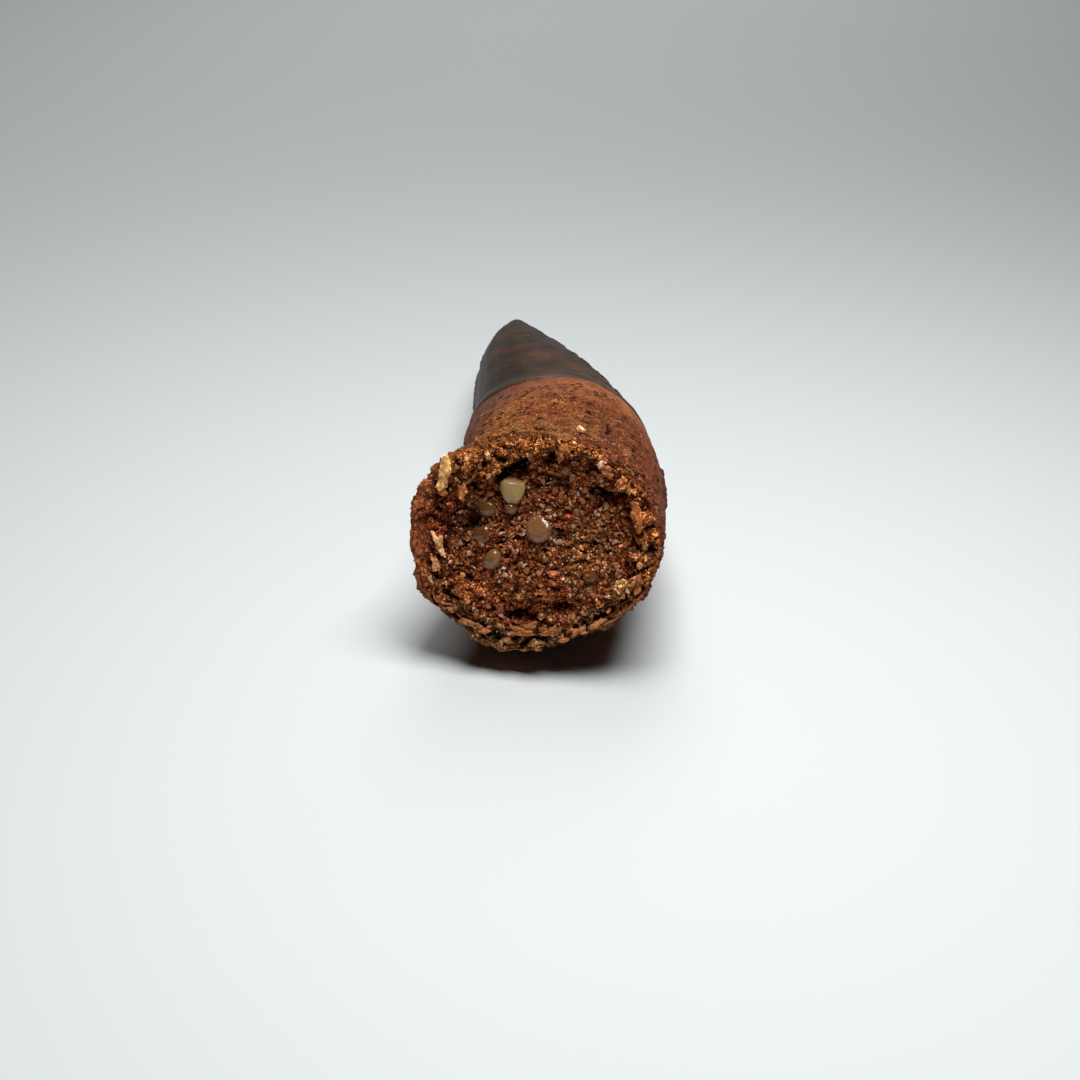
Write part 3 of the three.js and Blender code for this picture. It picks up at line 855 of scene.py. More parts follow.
def meshPiece(name, points, faces, smooth, tint=None):
    mesh = bpy.data.meshes.new(name)
    mesh.from_pydata(toFrame(points).tolist(), [], faces)
    if tint is not None:
        colourLayer(mesh, "tint", tint)
    mesh.polygons.foreach_set("use_smooth", np.full(len(mesh.polygons), smooth))
    faceOut(mesh)
    return addObject(name, mesh)


def joinParts(name, parts, smooth):
    allPoints, allFaces, allTints = zip(*parts)
    starts = np.cumsum([0] + [len(points) for points in allPoints[:-1]]).tolist()
    faces = [[start + v for v in face] for start, own in zip(starts, allFaces) for face in own]
    tint = None if allTints[0] is None else np.concatenate(allTints)
    return meshPiece(name, np.concatenate(allPoints), faces, smooth, tint)


# on the sandstone: x, y, half sizes, depth, turn, kind, flats, squareness, roughness, taper
pebbles = [
    (-0.21, 0.41, (1.12, 1.36, 1.1), 1.25, 8, "yellow", 3, 0.74, 0.14, 0.2),
    (0.03, 0.09, (1.32, 1.36, 1.25), 0.8, 65, "clear", 2, 0.95, 0.12, 0),
    (-0.39, 0.22, (0.95, 0.8, 0.85), 1.3, 10, "smoky", 1, 0.95, 0.12, 0.1),
    (-0.4, -0.03, (1.0, 0.86, 0.9), 1.2, 40, "smoky", 1, 0.95, 0.12, 0.1),
    (-0.3, -0.24, (1.1, 0.85, 1.0), 0.7, 55, "clear", 2, 0.9, 0.1, 0.15),
    (0.47, -0.28, (0.95, 0.85, 0.85), 0.9, 30, "smoky", 1, 0.95, 0.12, 0.1),
]

# smaller clear grains: x, y, proud, half size
quartzBits = [
    (-0.21, 0.25, -1.05, 0.78), (0.13, -0.71, -0.1, 0.42), (0.47, -0.4, 0.0, 0.3), (0.41, -0.35, -0.1, 0.26),
    (0.52, -0.45, 0.05, 0.28), (0.37, -0.42, -0.05, 0.24), (0.18, 0.66, -0.9, 0.5), (0.24, 0.6, -0.9, 0.38),
    (0.42, -0.47, 0.05, 0.22), (-0.03, -0.5, 0.1, 0.26), (0.3, 0.3, -0.5, 0.3), (-0.1, -0.33, 0.0, 0.24),
]


pebbleSeed, bitSeed = 40, 200
faceChipSeed, rootChipSeed = 60, 90


def makeQuartzBits():
    parts = []
    for number, (x, y, proud, half) in enumerate(quartzBits):
        points, faces = stonePoints((half, 0.9 * half, half), bitSeed + number, 2, 0.12, 2)
        seat, axes = faceFrame(x, y, 40 * number, proud)
        parts.append((seat + points @ axes, faces, None))
    return joinParts("quartzBits", parts, True)


def makePebble(number, pebble):
    x, y, size, depth, turn, kind, flats, square, rough, taper = pebble
    points, faces = stonePoints((1, 1, 1), pebbleSeed + number, flats, rough, 4)
    points = np.sign(points) * np.abs(points) ** square
    points[:, 0] *= 1 + taper * points[:, 1]
    seat, axes = faceFrame(x, y, turn, -depth)
    piece = meshPiece(f"quartzPebble{number}", seat + (points * np.array(size)) @ axes, faces, True)
    finishPiece(piece, quartzFinish[kind], "quartz", f"quartz_pebble_{number}")


# on the broken face: x, y, proud, half sizes, turn, colour
faceChips = [
    (-0.72, 0.55, 0.35, (0.8, 1.5, 0.6), -22, (252, 186, 112)),
    (-0.74, 0.36, 0.2, (0.6, 0.6, 0.5), 0, (180, 97, 52)),
    (-0.57, 0.4, 0.2, (0.45, 0.75, 0.5), 15, (228, 146, 82)),
    (-0.72, -0.12, 0.35, (0.5, 1.5, 0.5), -6, (255, 190, 132)),
    (-0.73, -0.32, 0.25, (0.4, 0.9, 0.4), 8, (240, 168, 112)),
    (-0.3, -0.9, 0.35, (1.0, 0.5, 0.45), 12, (173, 109, 64)),
    (-0.1, -0.97, 0.2, (0.7, 0.35, 0.4), -4, (178, 114, 70)),
    (0.02, -0.87, 0.5, (1.4, 0.5, 0.5), 8, (186, 116, 64)),
    (0.2, -0.84, 0.45, (1.0, 0.5, 0.45), 20, (183, 112, 59)),
    (0.33, -0.9, 0.1, (0.6, 0.35, 0.4), 28, (165, 97, 55)),
    (0.1, -0.98, 0.1, (0.9, 0.3, 0.35), 6, (169, 105, 66)),
    (0.46, -0.62, 0.2, (0.38, 0.36, 0.35), 0, (193, 130, 75)),
    (0.38, -0.66, 0.2, (0.34, 0.32, 0.35), 40, (189, 122, 67)),
    (0.72, -0.36, 0.35, (0.5, 0.9, 0.4), -32, (200, 128, 75)),
    (0.84, -0.28, 0.2, (0.5, 0.8, 0.45), -20, (191, 112, 66)),
    (0.79, 0.31, 0.25, (0.6, 1.2, 0.5), 4, (200, 119, 58)),
    (0.74, 0.44, 0.1, (0.6, 0.5, 0.4), 20, (200, 120, 70)),
    (0.16, 0.86, 0.1, (0.6, 0.45, 0.4), 24, (207, 128, 69)),
    (0.5, 0.7, 0.1, (0.8, 0.45, 0.4), -30, (191, 117, 72)),
    (-0.2, -0.66, 0.2, (0.7, 0.5, 0.4), 30, (169, 99, 61)),
    (0.18, -0.3, -0.1, (0.6, 0.45, 0.4), 15, (228, 124, 79)),
    (-0.52, -0.4, 0.0, (0.4, 0.35, 0.35), 0, (212, 146, 80)),
    (0.24, 0.24, -1.0, (0.4, 0.28, 0.3), 0, (239, 108, 66)),
    (-0.42, -0.84, 0.4, (0.9, 0.42, 0.4), -18, (176, 118, 70)),
    (-0.18, -0.84, 0.2, (0.5, 0.3, 0.3), 5, (187, 130, 79)),
    (0.12, -0.95, 0.35, (0.9, 0.36, 0.4), 4, (190, 135, 84)),
    (0.42, -0.8, 0.35, (0.9, 0.4, 0.4), 32, (181, 118, 68)),
    (0.57, -0.7, 0.35, (0.8, 0.4, 0.4), 38, (187, 124, 73)),
    (0.65, -0.57, 0.2, (0.5, 0.3, 0.3), 46, (176, 110, 63)),
    (-0.58, -0.74, 0.2, (0.6, 0.3, 0.3), -36, (173, 116, 70)),
    (0.84, -0.12, 0.2, (0.5, 0.6, 0.35), 5, (207, 137, 84)),
    (0.86, 0.05, 0.1, (0.35, 0.5, 0.3), 10, (195, 121, 72)),
]

# on the outside of the root: along, angle, proud, half sizes, turn, colour
rootChips = [
    (4.5, 76, 0.2, (0.7, 0.7, 0.5), 20, (255, 190, 140)),
]


def makeChips(name, chips, place, seed):
    parts = []
    rng = random.Random(seed)
    for number, (a, b, proud, size, turn, colour) in enumerate(chips):
        longer = int(size[1] > size[0])
        for part in range(4 if max(size) > 0.7 else 1):
            own = np.array(size) * rng.uniform(0.6, 0.85)
            offset = np.zeros(3)
            if part:
                offset[longer] = (0.55, -0.55, rng.uniform(-0.9, 0.9))[part - 1] * size[longer]
                offset[1 - longer] = rng.uniform(-0.7, 0.7) * size[1 - longer]
                own = own * rng.uniform(0.55, 0.9)
            seat, axes = place(a, b, turn + rng.uniform(-40, 40) * (part > 0), proud)
            points, faces = shardPoints(own, seed + 7 * number + part, 2 if max(size) < 0.5 else 3)
            points = points + offset
            shade = rng.uniform(0.7, 1.2) * (1 + 0.4 * softNoise(points + seed + number, 0.5, 141))
            parts.append((seat + points @ axes, faces, srgb(*colour) * shade[:, None]))
    return joinParts(name, parts, False)


# thin layers that stand out of the broken wall: first angle, last angle, part of the wall, thickness, proud
plates = [
    (-158, -126, 0.86, 0.2, 0.3), (-142, -118, 0.62, 0.22, 0.4), (-54, -24, 0.84, 0.2, 0.32),
    (-46, -22, 0.62, 0.22, 0.36), (-112, -82, 0.86, 0.22, 0.35), (-12, 14, 0.28, 0.26, 0.4),
    (-34, -14, 0.4, 0.24, 0.35),
]
plateColours = [(130, 76, 42), (150, 92, 54), (158, 98, 60)]


def makePlates():
    parts = []
    for number, (firstAngle, lastAngle, part, thickness, proud) in enumerate(plates):
        steps = int(abs(lastAngle - firstAngle) * 1.6)
        t = np.linspace(0, 1, steps)
        angle = firstAngle + (lastAngle - firstAngle) * t
        inner = cavityReach(0 * angle, angle)
        edge = 1 + sumOfLobes(toothShape["rimLobes"], angle)
        ring = ringPoint(angle, 9, 0 * angle + number * 3.7)
        shift = 0.12 * softNoise(ring, 2.0, 161) + 0.07 * softNoise(ring, 0.7, 165)
        fade = np.clip(np.minimum(t, 1 - t) * 6, 0.05, 1) ** 0.6
        top = (proud * (0.8 + 0.9 * softNoise(ring, 1.1, 162)) * fade)[:, None]
        half = (0.5 * thickness * fade * (1 + 0.5 * softNoise(ring, 0.7, 163)))[:, None]
        reach = (inner + (edge - inner) * (part + shift))[:, None]
        profile = np.array([(-1, -3), (-1, 0.2), (-0.55, 0.9), (0.3, 1), (1, 0.5), (1, -3)])
        r = reach + half * profile[None, :, 0] / faceHalf
        direction = np.radians(angle)[:, None]
        low = np.where(profile[:, 1] < 0, -1.2, 0)[None, :]
        lift = np.where(profile[None, :, 1] < 0, low, top * profile[None, :, 1])
        points = sectionPoint(0 * r, r * np.cos(direction), r * np.sin(direction))
        points = points + outOfFace * (lift - 0.1)[..., None]
        index = np.arange(steps * len(profile)).reshape(steps, len(profile))
        nxt = np.roll(index, -1, axis=1)
        faces = np.stack([index[:-1], index[1:], nxt[1:], nxt[:-1]], -1).reshape(-1, 4).tolist()
        faces += [index[0].tolist(), index[-1][::-1].tolist()]
        colour = srgb(*plateColours[number % len(plateColours)])
        flat = points.reshape(-1, 3)
        parts.append((flat, faces, colour * (1 + 0.3 * softNoise(flat, 0.8, 164))[:, None]))
    return joinParts("wallPlates", parts, False)


# spacing and sizes in millimetres, density in grains to a square millimetre
grains = {
    "variants": 8,
    "seed": 5,
    "onFill": {"spacing": 0.24, "density": 22.0, "small": 0.1, "large": 0.24},
    "coarse": {"spacing": 0.8, "density": 0.9, "small": 0.26, "large": 0.46},
    "onRoot": {"spacing": 0.24, "density": 18.0, "small": 0.08, "large": 0.19},
    "flakes": {"spacing": 0.5, "density": 2.2, "small": 0.22, "large": 0.5},
}


def makeGrainShapes(name, corners, flatness):
    rng = random.Random(grains["seed"])
    holder = bpy.data.collections.new(name)
    bpy.context.scene.collection.children.link(holder)
    for number in range(grains["variants"]):
        shape = bmesh.new()
        for _ in range(corners):
            corner = Vector([rng.gauss(0, 1) for _ in range(3)]).normalized() * rng.uniform(0.8, 1.15)
            corner.z *= flatness
            shape.verts.new(corner)
        bmesh.ops.convex_hull(shape, input=shape.verts)
        loose = [v for v in shape.verts if not v.link_faces]
        bmesh.ops.delete(shape, geom=loose, context="VERTS")
        bmesh.ops.recalc_face_normals(shape, faces=shape.faces)
        mesh = bpy.data.meshes.new(f"{name}{number}")
        shape.to_mesh(mesh)
        shape.free()
        holder.objects.link(bpy.data.objects.new(f"{name}{number}", mesh))
    return holder


def randomValue(nodes, kind, seed, low=None, high=None):
    value = nodes.new("FunctionNodeRandomValue")
    value.data_type = kind
    value.inputs["Seed"].default_value = seed
    if low:
        value.inputs["Min"].default_value = low
        value.inputs["Max"].default_value = high
    return value


def grainTree(name, holder, material, carried):
    tree = bpy.data.node_groups.new(name, "GeometryNodeTree")
    face = tree.interface
    face.new_socket("Geometry", in_out="INPUT", socket_type="NodeSocketGeometry")
    controls = [("Spacing", "Float"), ("Density", "Float"), ("Smallest", "Float"), ("Largest", "Float"),
                ("Seed", "Int")]
    for label, kind in controls:
        face.new_socket(label, in_out="INPUT", socket_type="NodeSocket" + kind)
    face.new_socket("Geometry", in_out="OUTPUT", socket_type="NodeSocketGeometry")
    nodes, links = tree.nodes, tree.links
    start = nodes.new("NodeGroupInput")
    end = nodes.new("NodeGroupOutput")
    amount = nodes.new("GeometryNodeInputNamedAttribute")
    amount.data_type = "FLOAT"
    amount.inputs["Name"].default_value = carried
    scatter = nodes.new("GeometryNodeDistributePointsOnFaces")
    scatter.distribute_method = "POISSON"
    links.new(start.outputs["Geometry"], scatter.inputs["Mesh"])
    links.new(start.outputs["Spacing"], scatter.inputs["Distance Min"])
    links.new(start.outputs["Density"], scatter.inputs["Density Max"])
    links.new(amount.outputs["Attribute"], scatter.inputs["Density Factor"])
    links.new(start.outputs["Seed"], scatter.inputs["Seed"])
    shapes = nodes.new("GeometryNodeCollectionInfo")
    shapes.inputs["Collection"].default_value = holder
    shapes.inputs["Separate Children"].default_value = True
    shapes.inputs["Reset Children"].default_value = True
    turn = randomValue(nodes, "FLOAT_VECTOR", 3, (0, 0, 0), (2 * math.pi,) * 3)
    size = randomValue(nodes, "FLOAT", 4)
    links.new(start.outputs["Smallest"], size.inputs[2])
    links.new(start.outputs["Largest"], size.inputs[3])
    stretch = randomValue(nodes, "FLOAT_VECTOR", 6, (0.7, 0.7, 0.65), (1.3, 1.15, 1.1))
    scaled = nodes.new("ShaderNodeVectorMath")
    scaled.operation = "SCALE"
    links.new(stretch.outputs[0], scaled.inputs[0])
    links.new(size.outputs[1], scaled.inputs["Scale"])
    place = nodes.new("GeometryNodeInstanceOnPoints")
    place.inputs["Pick Instance"].default_value = True
    links.new(scatter.outputs["Points"], place.inputs["Points"])
    links.new(shapes.outputs[0], place.inputs["Instance"])
    links.new(turn.outputs[0], place.inputs["Rotation"])
    links.new(scaled.outputs["Vector"], place.inputs["Scale"])
    chance = randomValue(nodes, "FLOAT", 8)
    keep = nodes.new("GeometryNodeStoreNamedAttribute")
    keep.data_type = "FLOAT"
    keep.domain = "INSTANCE"
    keep.inputs["Name"].default_value = "grainChance"
    links.new(place.outputs["Instances"], keep.inputs["Geometry"])
    links.new(chance.outputs[1], keep.inputs["Value"])
    realize = nodes.new("GeometryNodeRealizeInstances")
    finish = nodes.new("GeometryNodeSetMaterial")
    finish.inputs["Material"].default_value = material
    links.new(keep.outputs["Geometry"], realize.inputs["Geometry"])
    links.new(realize.outputs["Geometry"], finish.inputs["Geometry"])
    links.new(finish.outputs["Geometry"], end.inputs["Geometry"])
    return tree


def makeGrains(name, carrier, values, holder, material, seed, carried):
    tree = grainTree(name + "Tree", holder, material, carried)
    source = addObject(name + "Source", carrier.data.copy())
    modifier = source.modifiers.new("grains", "NODES")
    modifier.node_group = tree
    sockets = {item.name: item.identifier for item in tree.interface.items_tree if item.in_out == "INPUT"}
    modifier[sockets["Spacing"]] = values["spacing"] * mm
    modifier[sockets["Density"]] = values["density"] / mm ** 2
    modifier[sockets["Smallest"]] = values["small"] * mm
    modifier[sockets["Largest"]] = values["large"] * mm
    modifier[sockets["Seed"]] = seed
    bpy.context.view_layer.update()
    evaluated = source.evaluated_get(bpy.context.evaluated_depsgraph_get())
    mesh = bpy.data.meshes.new_from_object(evaluated)
    mesh.name = name
    bpy.data.objects.remove(source)
    piece = addObject(name, mesh)
    heights = np.zeros(len(mesh.vertices) * 3)
    mesh.vertices.foreach_get("co", heights)
    heights = heights.reshape(-1, 3)
    heights[:, 2] = np.maximum(heights[:, 2], 0)
    mesh.vertices.foreach_set("co", heights.ravel())
    mesh.update()
    print(name, "has", len(mesh.polygons), "faces")
    return piece


def newMaterial(name):
    material = bpy.data.materials.new(name)
    material.use_nodes = True
    return material, material.node_tree.nodes, material.node_tree.links


def millimetres(nodes, links):
    where = nodes.new("ShaderNodeTexCoord")
    scale = nodes.new("ShaderNodeVectorMath")
    scale.operation = "SCALE"
    scale.inputs["Scale"].default_value = 1 / mm
    links.new(where.outputs["Object"], scale.inputs[0])
    return scale.outputs["Vector"]


def noiseAt(nodes, links, place, size, detail=3.0):
    noise = nodes.new("ShaderNodeTexNoise")
    noise.inputs["Scale"].default_value = 1 / size
    noise.inputs["Detail"].default_value = detail
    links.new(place, noise.inputs["Vector"])
    return noise.outputs["Fac"]


def mapTo(nodes, links, value, low, high, fromLow=0.0, fromHigh=1.0):
    shade = nodes.new("ShaderNodeMapRange")
    for label, number in [("From Min", fromLow), ("From Max", fromHigh), ("To Min", low), ("To Max", high)]:
        shade.inputs[label].default_value = number
    links.new(value, shade.inputs["Value"])
    return shade.outputs["Result"]


def scaleColour(nodes, links, colour, factor):
    blend = nodes.new("ShaderNodeVectorMath")
    blend.operation = "SCALE"
    links.new(colour, blend.inputs[0])
    links.new(factor, blend.inputs["Scale"])
    return blend.outputs["Vector"]


def bumpFrom(nodes, links, height, distance, strength=1.0, under=None):
    bump = nodes.new("ShaderNodeBump")
    bump.inputs["Strength"].default_value = strength
    bump.inputs["Distance"].default_value = distance * mm
    links.new(height, bump.inputs["Height"])
    if under:
        links.new(under, bump.inputs["Normal"])
    return bump.outputs["Normal"]


def mathNode(nodes, links, kind, operation, values):
    step = nodes.new(kind)
    step.operation = operation
    for socket, value in zip(step.inputs, values):
        if isinstance(value, bpy.types.NodeSocket):
            links.new(value, socket)
        else:
            socket.default_value = value
    return step.outputs[0]


def calc(nodes, links, operation, *values):
    return mathNode(nodes, links, "ShaderNodeMath", operation, values)


def vectorCalc(nodes, links, operation, *values):
    return mathNode(nodes, links, "ShaderNodeVectorMath", operation, values)


def attributeOf(nodes, label, output="Fac"):
    source = nodes.new("ShaderNodeAttribute")
    source.attribute_name = label
    return source.outputs[output]


def crumbs(nodes, links, place, size, spread, gap):
    warp = nodes.new("ShaderNodeTexNoise")
    warp.inputs["Scale"].default_value = 0.8 / size
    links.new(place, warp.inputs["Vector"])
    bent = vectorCalc(nodes, links, "MULTIPLY_ADD", warp.outputs["Color"], (0.9 * size,) * 3, place)
    parts = []
    for feature, output in [("F1", "Color"), ("DISTANCE_TO_EDGE", "Distance")]:
        cells = nodes.new("ShaderNodeTexVoronoi")
        cells.feature = feature
        cells.inputs["Scale"].default_value = 1 / size
        links.new(bent, cells.inputs["Vector"])
        parts.append(cells.outputs[output])
    channel = nodes.new("ShaderNodeSeparateColor")
    links.new(parts[0], channel.inputs[0])
    own = mapTo(nodes, links, channel.outputs[0], 1 - spread, 1 + spread)
    # a few cells are made lighter: light specks, partly pale grains and partly painted glints
    bright = calc(nodes, links, "GREATER_THAN", channel.outputs[1], 0.93)
    own = calc(nodes, links, "MULTIPLY_ADD", bright, 2 * spread, own)
    # the crumbs round off towards their edges, and the edges get painted shade
    roundingAndShade = mapTo(nodes, links, parts[1], gap, 1.15, 0, 0.16)
    return calc(nodes, links, "MULTIPLY", own, roundingAndShade), roundingAndShade


def poresIn(nodes, links, place):
    stretched = vectorCalc(nodes, links, "MULTIPLY", place, (0.5, 1.0, 0.5))
    cells = nodes.new("ShaderNodeTexVoronoi")
    cells.inputs["Scale"].default_value = 1 / 0.42
    links.new(stretched, cells.inputs["Vector"])
    channel = nodes.new("ShaderNodeSeparateColor")
    links.new(cells.outputs["Color"], channel.inputs[0])
    opened = calc(nodes, links, "LESS_THAN", channel.outputs[0], attributeOf(nodes, "pores"))
    size = calc(nodes, links, "MULTIPLY_ADD", channel.outputs[1], 0.2, 0.28)
    hole = calc(nodes, links, "SUBTRACT", size, cells.outputs["Distance"])
    return calc(nodes, links, "MULTIPLY", opened, mapTo(nodes, links, hole, 0, 1, 0, 0.1))


def tintedSurface(name, roughness, fineBump, fineSize, spread, crumb=None, pored=False, specular=0.14):
    material, nodes, links = newMaterial(name)
    shader = nodes["Principled BSDF"]
    shader.inputs["Specular IOR Level"].default_value = specular
    place = millimetres(nodes, links)
    speck = noiseAt(nodes, links, place, fineSize)
    shade = mapTo(nodes, links, speck, 1 - spread, 1 + spread, 0.3, 0.7)
    normal = bumpFrom(nodes, links, speck, fineBump)
    if crumb:
        broken = attributeOf(nodes, "broken") if crumb["masked"] else 1.0
        own, roundingAndShade = crumbs(nodes, links, place, crumb["size"], crumb["spread"], crumb["gap"])
        smallGap = 0.5 + 0.5 * crumb["gap"]
        small, _ = crumbs(nodes, links, place, crumb["size"] * 0.45, crumb["spread"] * 0.7, smallGap)
        both = calc(nodes, links, "MULTIPLY", own, small)
        both = calc(nodes, links, "MULTIPLY_ADD", calc(nodes, links, "SUBTRACT", both, 1), broken, 1)
        shade = calc(nodes, links, "MULTIPLY", shade, both)
        raised = calc(nodes, links, "MULTIPLY", roundingAndShade, broken)
        normal = bumpFrom(nodes, links, raised, crumb["height"], 0.9, normal)
    if pored:
        pore = poresIn(nodes, links, place)
        shade = calc(nodes, links, "MULTIPLY", shade, calc(nodes, links, "MULTIPLY_ADD", pore, -0.82, 1))
        normal = bumpFrom(nodes, links, pore, -0.2, 1.0, normal)
    deepen = nodes.new("ShaderNodeCombineXYZ")
    for socket, power in zip(deepen.inputs, (1.0, 1.3, 1.6)):
        links.new(calc(nodes, links, "POWER", shade, power), socket)
    tint = attributeOf(nodes, "tint", "Color")
    shaded = vectorCalc(nodes, links, "MULTIPLY", tint, deepen.outputs["Vector"])
    links.new(shaded, shader.inputs["Base Color"])
    links.new(mapTo(nodes, links, speck, roughness - 0.12, roughness + 0.12), shader.inputs["Roughness"])
    links.new(normal, shader.inputs["Normal"])
    return material


def grainMaterial(name, stops, pale, palest, roughHigh, roughLow):
    material, nodes, links = newMaterial(name)
    shader = nodes["Principled BSDF"]
    chance = attributeOf(nodes, "grainChance")
    ramp = nodes.new("ShaderNodeValToRGB")
    while len(ramp.color_ramp.elements) < len(stops):
        ramp.color_ramp.elements.new(0.5)
    for element, (position, level) in zip(ramp.color_ramp.elements, stops):
        element.position = position
        element.color = (0.2 * level[0], 0.2 * level[1], 0.2 * level[2], 1)
    links.new(chance, ramp.inputs["Fac"])
    own = vectorCalc(nodes, links, "MULTIPLY", ramp.outputs["Color"], attributeOf(nodes, "tint", "Color"))
    speck = noiseAt(nodes, links, millimetres(nodes, links), 0.12)
    # the ramp holds a fifth of each level, and this makes up for it
    five = mapTo(nodes, links, speck, 3.2, 6.8, 0.3, 0.7)
    # the grains at the top of the chance range turn pale cream and glossier; the pale colour is partly pale
    # grains and partly painted glint
    paleAndGlint = mapTo(nodes, links, chance, 0, 1, palest, palest + 0.06)
    mixed = nodes.new("ShaderNodeMix")
    mixed.data_type = "RGBA"
    links.new(paleAndGlint, mixed.inputs["Factor"])
    links.new(scaleColour(nodes, links, own, five), mixed.inputs[6])
    mixed.inputs[7].default_value = (*pale, 1)
    links.new(mixed.outputs[2], shader.inputs["Base Color"])
    links.new(mapTo(nodes, links, paleAndGlint, roughHigh, roughLow), shader.inputs["Roughness"])
    links.new(mapTo(nodes, links, paleAndGlint, 0.2, 0.8), shader.inputs["Specular IOR Level"])
    return material


quartzIndex = 1.55  # how strongly quartz bends light


def quartzMaterial(name, absorbed, density, roughness, base, through):
    material, nodes, links = newMaterial(name)
    shader = nodes["Principled BSDF"]
    shader.inputs["Base Color"].default_value = (*base, 1)
    shader.inputs["Transmission Weight"].default_value = through
    shader.inputs["IOR"].default_value = quartzIndex
    shader.inputs["Roughness"].default_value = roughness
    depth = nodes.new("ShaderNodeVolumeAbsorption")
    depth.inputs["Color"].default_value = (*absorbed, 1)
    depth.inputs["Density"].default_value = density
    links.new(depth.outputs["Volume"], nodes["Material Output"].inputs["Volume"])
    worn = noiseAt(nodes, links, millimetres(nodes, links), 1.6, 0.0)
    links.new(bumpFrom(nodes, links, worn, 0.02, 0.2), shader.inputs["Normal"])
    return material


# crumbled surfaces: whether only broken places are, size, contrast, brightness of the painted shade in the
# gaps, height
rootCrumb = {"masked": True, "size": 0.34, "spread": 0.6, "gap": 0.12, "height": 0.16}
sandCrumb = {**rootCrumb, "gap": 0.2}
chipCrumb = {"masked": False, "size": 0.5, "spread": 0.12, "gap": 0.75, "height": 0.05}
rootFinish = tintedSurface("rootFinish", 0.62, 0.12, 0.2, 0.32, rootCrumb, pored=True)
crownFinish = tintedSurface("crownFinish", 0.5, 0.03, 0.4, 0.18, specular=0.28)
sandstoneFinish = tintedSurface("sandstoneFinish", 0.75, 0.1, 0.16, 0.25, sandCrumb)
chipFinish = tintedSurface("chipFinish", 0.6, 0.06, 0.3, 0.2, chipCrumb)
quartzFinish = {
    "yellow": quartzMaterial("quartzYellow", (0.96, 0.8, 0.4), 220, 0.1, (0.86, 0.58, 0.24), 0.5),
    "clear": quartzMaterial("quartzClear", (0.95, 0.7, 0.42), 260, 0.07, (0.62, 0.3, 0.12), 0.64),
    "smoky": quartzMaterial("quartzSmoky", (0.92, 0.64, 0.32), 300, 0.1, (0.42, 0.17, 0.05), 0.6),
}
sandStops = [(0.0, (0.3, 0.18, 0.12)), (0.3, (0.72, 0.6, 0.52)), (0.6, (1.1, 1.15, 1.15)),
             (0.85, (1.35, 1.9, 2.3)), (1.0, (1.4, 2.4, 3.2))]
crustStops = [(0.0, (0.45, 0.3, 0.22)), (0.35, (0.85, 0.76, 0.7)), (0.7, (1.12, 1.2, 1.2)),
              (0.9, (1.3, 1.65, 1.8)), (1.0, (1.5, 2.0, 2.4))]
coarseStops = [(0.0, (0.6, 0.6, 0.62)), (0.5, (1.0, 1.05, 1.15)), (1.0, (1.5, 1.75, 2.1))]
fillGrainFinish = grainMaterial("fillGrainFinish", sandStops, (0.84, 0.6, 0.44), 0.86, 0.6, 0.26)
rootGrainFinish = grainMaterial("rootGrainFinish", crustStops, (0.8, 0.5, 0.3), 0.93, 0.7, 0.2)
coarseGrainFinish = grainMaterial("coarseGrainFinish", coarseStops, (0.6, 0.36, 0.22), 0.8, 0.3, 0.12)
flakeStops = [(0.0, (0.9, 0.9, 0.85)), (0.5, (1.2, 1.45, 1.4)), (1.0, (1.4, 1.9, 2.1))]
flakeFinish = grainMaterial("flakeFinish", flakeStops, (0.9, 0.58, 0.34), 0.7, 0.6, 0.4)
print("materials made")


def finishPiece(piece, material, slot, *nodes):
    if material:
        piece.data.materials.clear()
        piece.data.materials.append(material)
    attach(piece, "root")
    if nodes:
        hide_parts(*nodes)


rootPiece = makeRoot()
finishPiece(rootPiece, rootFinish, "tooth", "tooth")
print("root made")
finishPiece(makeCrown(), crownFinish, "tooth")
print("crown made")
fillPiece = makeSandstone()
finishPiece(fillPiece, sandstoneFinish, "sandstone", "sandstone_fill")
print("sandstone made")
for number, pebble in enumerate(pebbles, start=1):
    makePebble(number, pebble)
finishPiece(makeQuartzBits(), quartzFinish["clear"], "quartz")
print("pebbles made")
finishPiece(makeChips("faceChips", faceChips, faceFrame, faceChipSeed), chipFinish, "tooth")
finishPiece(makeChips("rootChips", rootChips, rootFrame, rootChipSeed), chipFinish, "tooth")
finishPiece(makePlates(), chipFinish, "tooth")
print("chips made")
grainShapes = makeGrainShapes("grainShape", 12, 1.0)
flakeShapes = makeGrainShapes("flakeShape", 11, 0.4)
# name, what carries them, size and number, shapes, material, seed, slot, attribute that says where they lie
grainPieces = [
    ("fillGrains", fillPiece, "onFill", grainShapes, fillGrainFinish, 1, "sandstone", "grainAmount"),
    ("coarseGrains", fillPiece, "coarse", grainShapes, coarseGrainFinish, 4, "sandstone", "grainAmount"),
    ("rootGrains", rootPiece, "onRoot", grainShapes, rootGrainFinish, 2, "tooth", "grainAmount"),
    ("wallFlakes", rootPiece, "flakes", flakeShapes, flakeFinish, 3, "tooth", "flakeAmount"),
]
for name, carrier, kind, shapes, material, seed, slot, carried in grainPieces:
    finishPiece(makeGrains(name, carrier, grains[kind], shapes, material, seed, carried), None, slot)
for holder in (grainShapes, flakeShapes):
    for shape in list(holder.objects):
        bpy.data.objects.remove(shape)
    bpy.data.collections.remove(holder)
print("grains made")


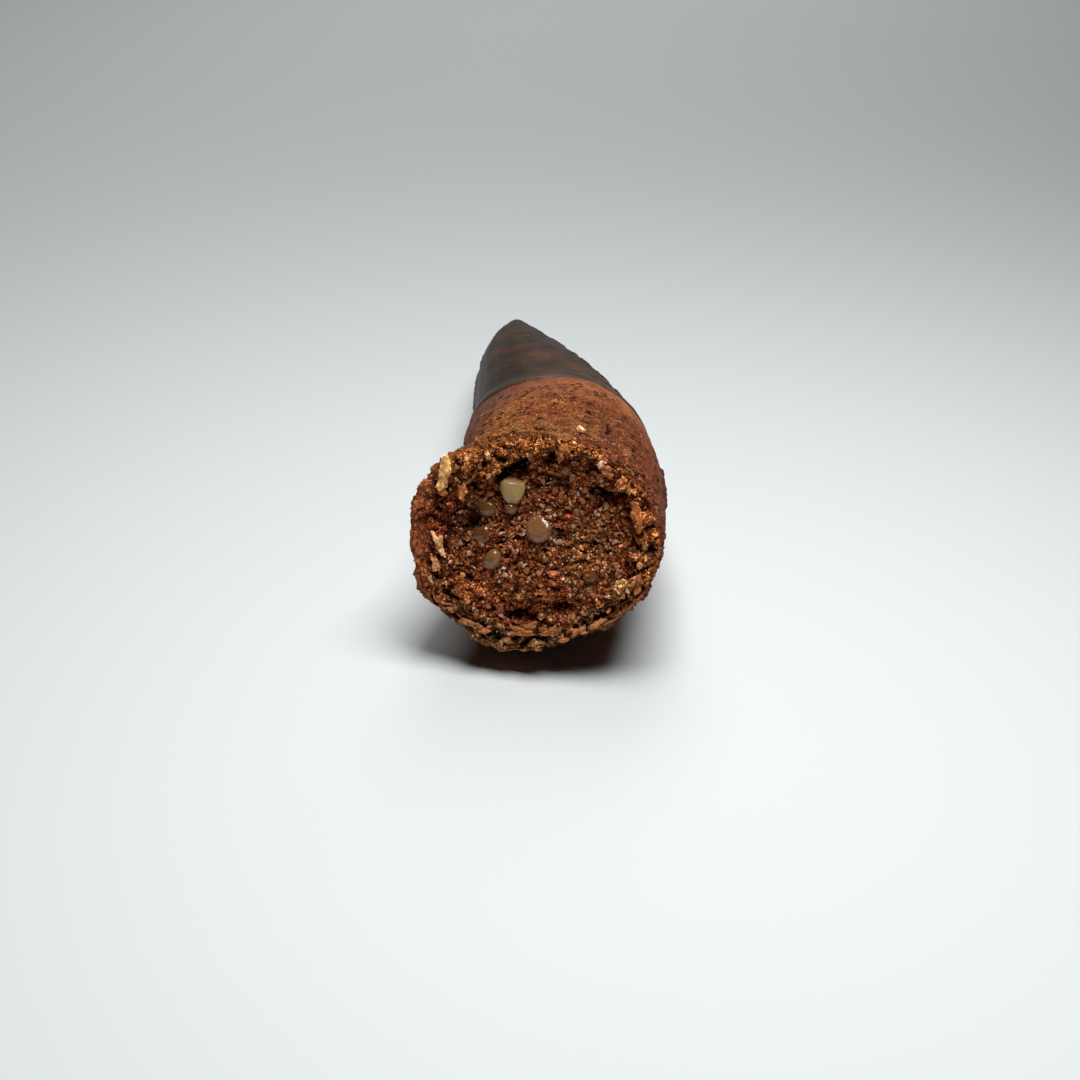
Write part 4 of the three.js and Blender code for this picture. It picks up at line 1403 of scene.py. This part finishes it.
stage = {
    "floorColour": srgb(226, 231, 231),
    "floorHalf": 1500,
    # lamps: name, place, aim, size, power
    "lamps": [("overhead", (24, -34, 178), (-16, -150, 0), (105, 100), 0.38),
              ("behind", (0, 262, 300), (-50, 176, 0), (215, 320), 0.65)],
    "world": (0.86, 0.9, 0.92), "worldStrength": 0.006,
}


def makeFloor():
    bpy.ops.mesh.primitive_plane_add(size=2 * stage["floorHalf"] * mm)
    floor = bpy.context.object
    floor.name = "floor"
    material, nodes, _ = newMaterial("floorFinish")
    nodes["Principled BSDF"].inputs["Base Color"].default_value = (*stage["floorColour"], 1)
    nodes["Principled BSDF"].inputs["Roughness"].default_value = 0.8
    nodes["Principled BSDF"].inputs["Specular IOR Level"].default_value = 0.2
    floor.data.materials.append(material)


def makeLight(name, at, aim, size, power):
    data = bpy.data.lights.new(name, "AREA")
    data.shape = "RECTANGLE"
    data.size, data.size_y = size[0] * mm, size[1] * mm
    data.energy = power
    light = addObject(name, data)
    light.location = Vector(at) * mm
    direction = Vector(aim) * mm - light.location
    light.rotation_euler = direction.to_track_quat("-Z", "Y").to_euler()


makeFloor()
for lamp in stage["lamps"]:
    makeLight(*lamp)
world = bpy.data.worlds.new("studio")
world.use_nodes = True
world.node_tree.nodes["Background"].inputs["Color"].default_value = (*stage["world"], 1)
world.node_tree.nodes["Background"].inputs["Strength"].default_value = stage["worldStrength"]
bpy.context.scene.world = world
bpy.context.scene.view_settings.view_transform = "Standard"

view = {"aim": (0.15, -32.3, 13.55), "distance": 145.6, "elevation": 32.5, "lens": 50}


def makeCamera():
    data = bpy.data.cameras.new("camera")
    data.lens = view["lens"]
    data.sensor_width = 36
    data.clip_start = 0.001
    data.clip_end = 10
    camera = addObject("camera", data)
    lift = math.radians(view["elevation"])
    back = Vector((0, -math.cos(lift), math.sin(lift)))
    camera.location = (Vector(view["aim"]) + back * view["distance"]) * mm
    camera.rotation_euler = (-back).to_track_quat("-Z", "Y").to_euler()
    bpy.context.scene.camera = camera


makeCamera()
print("stage set")
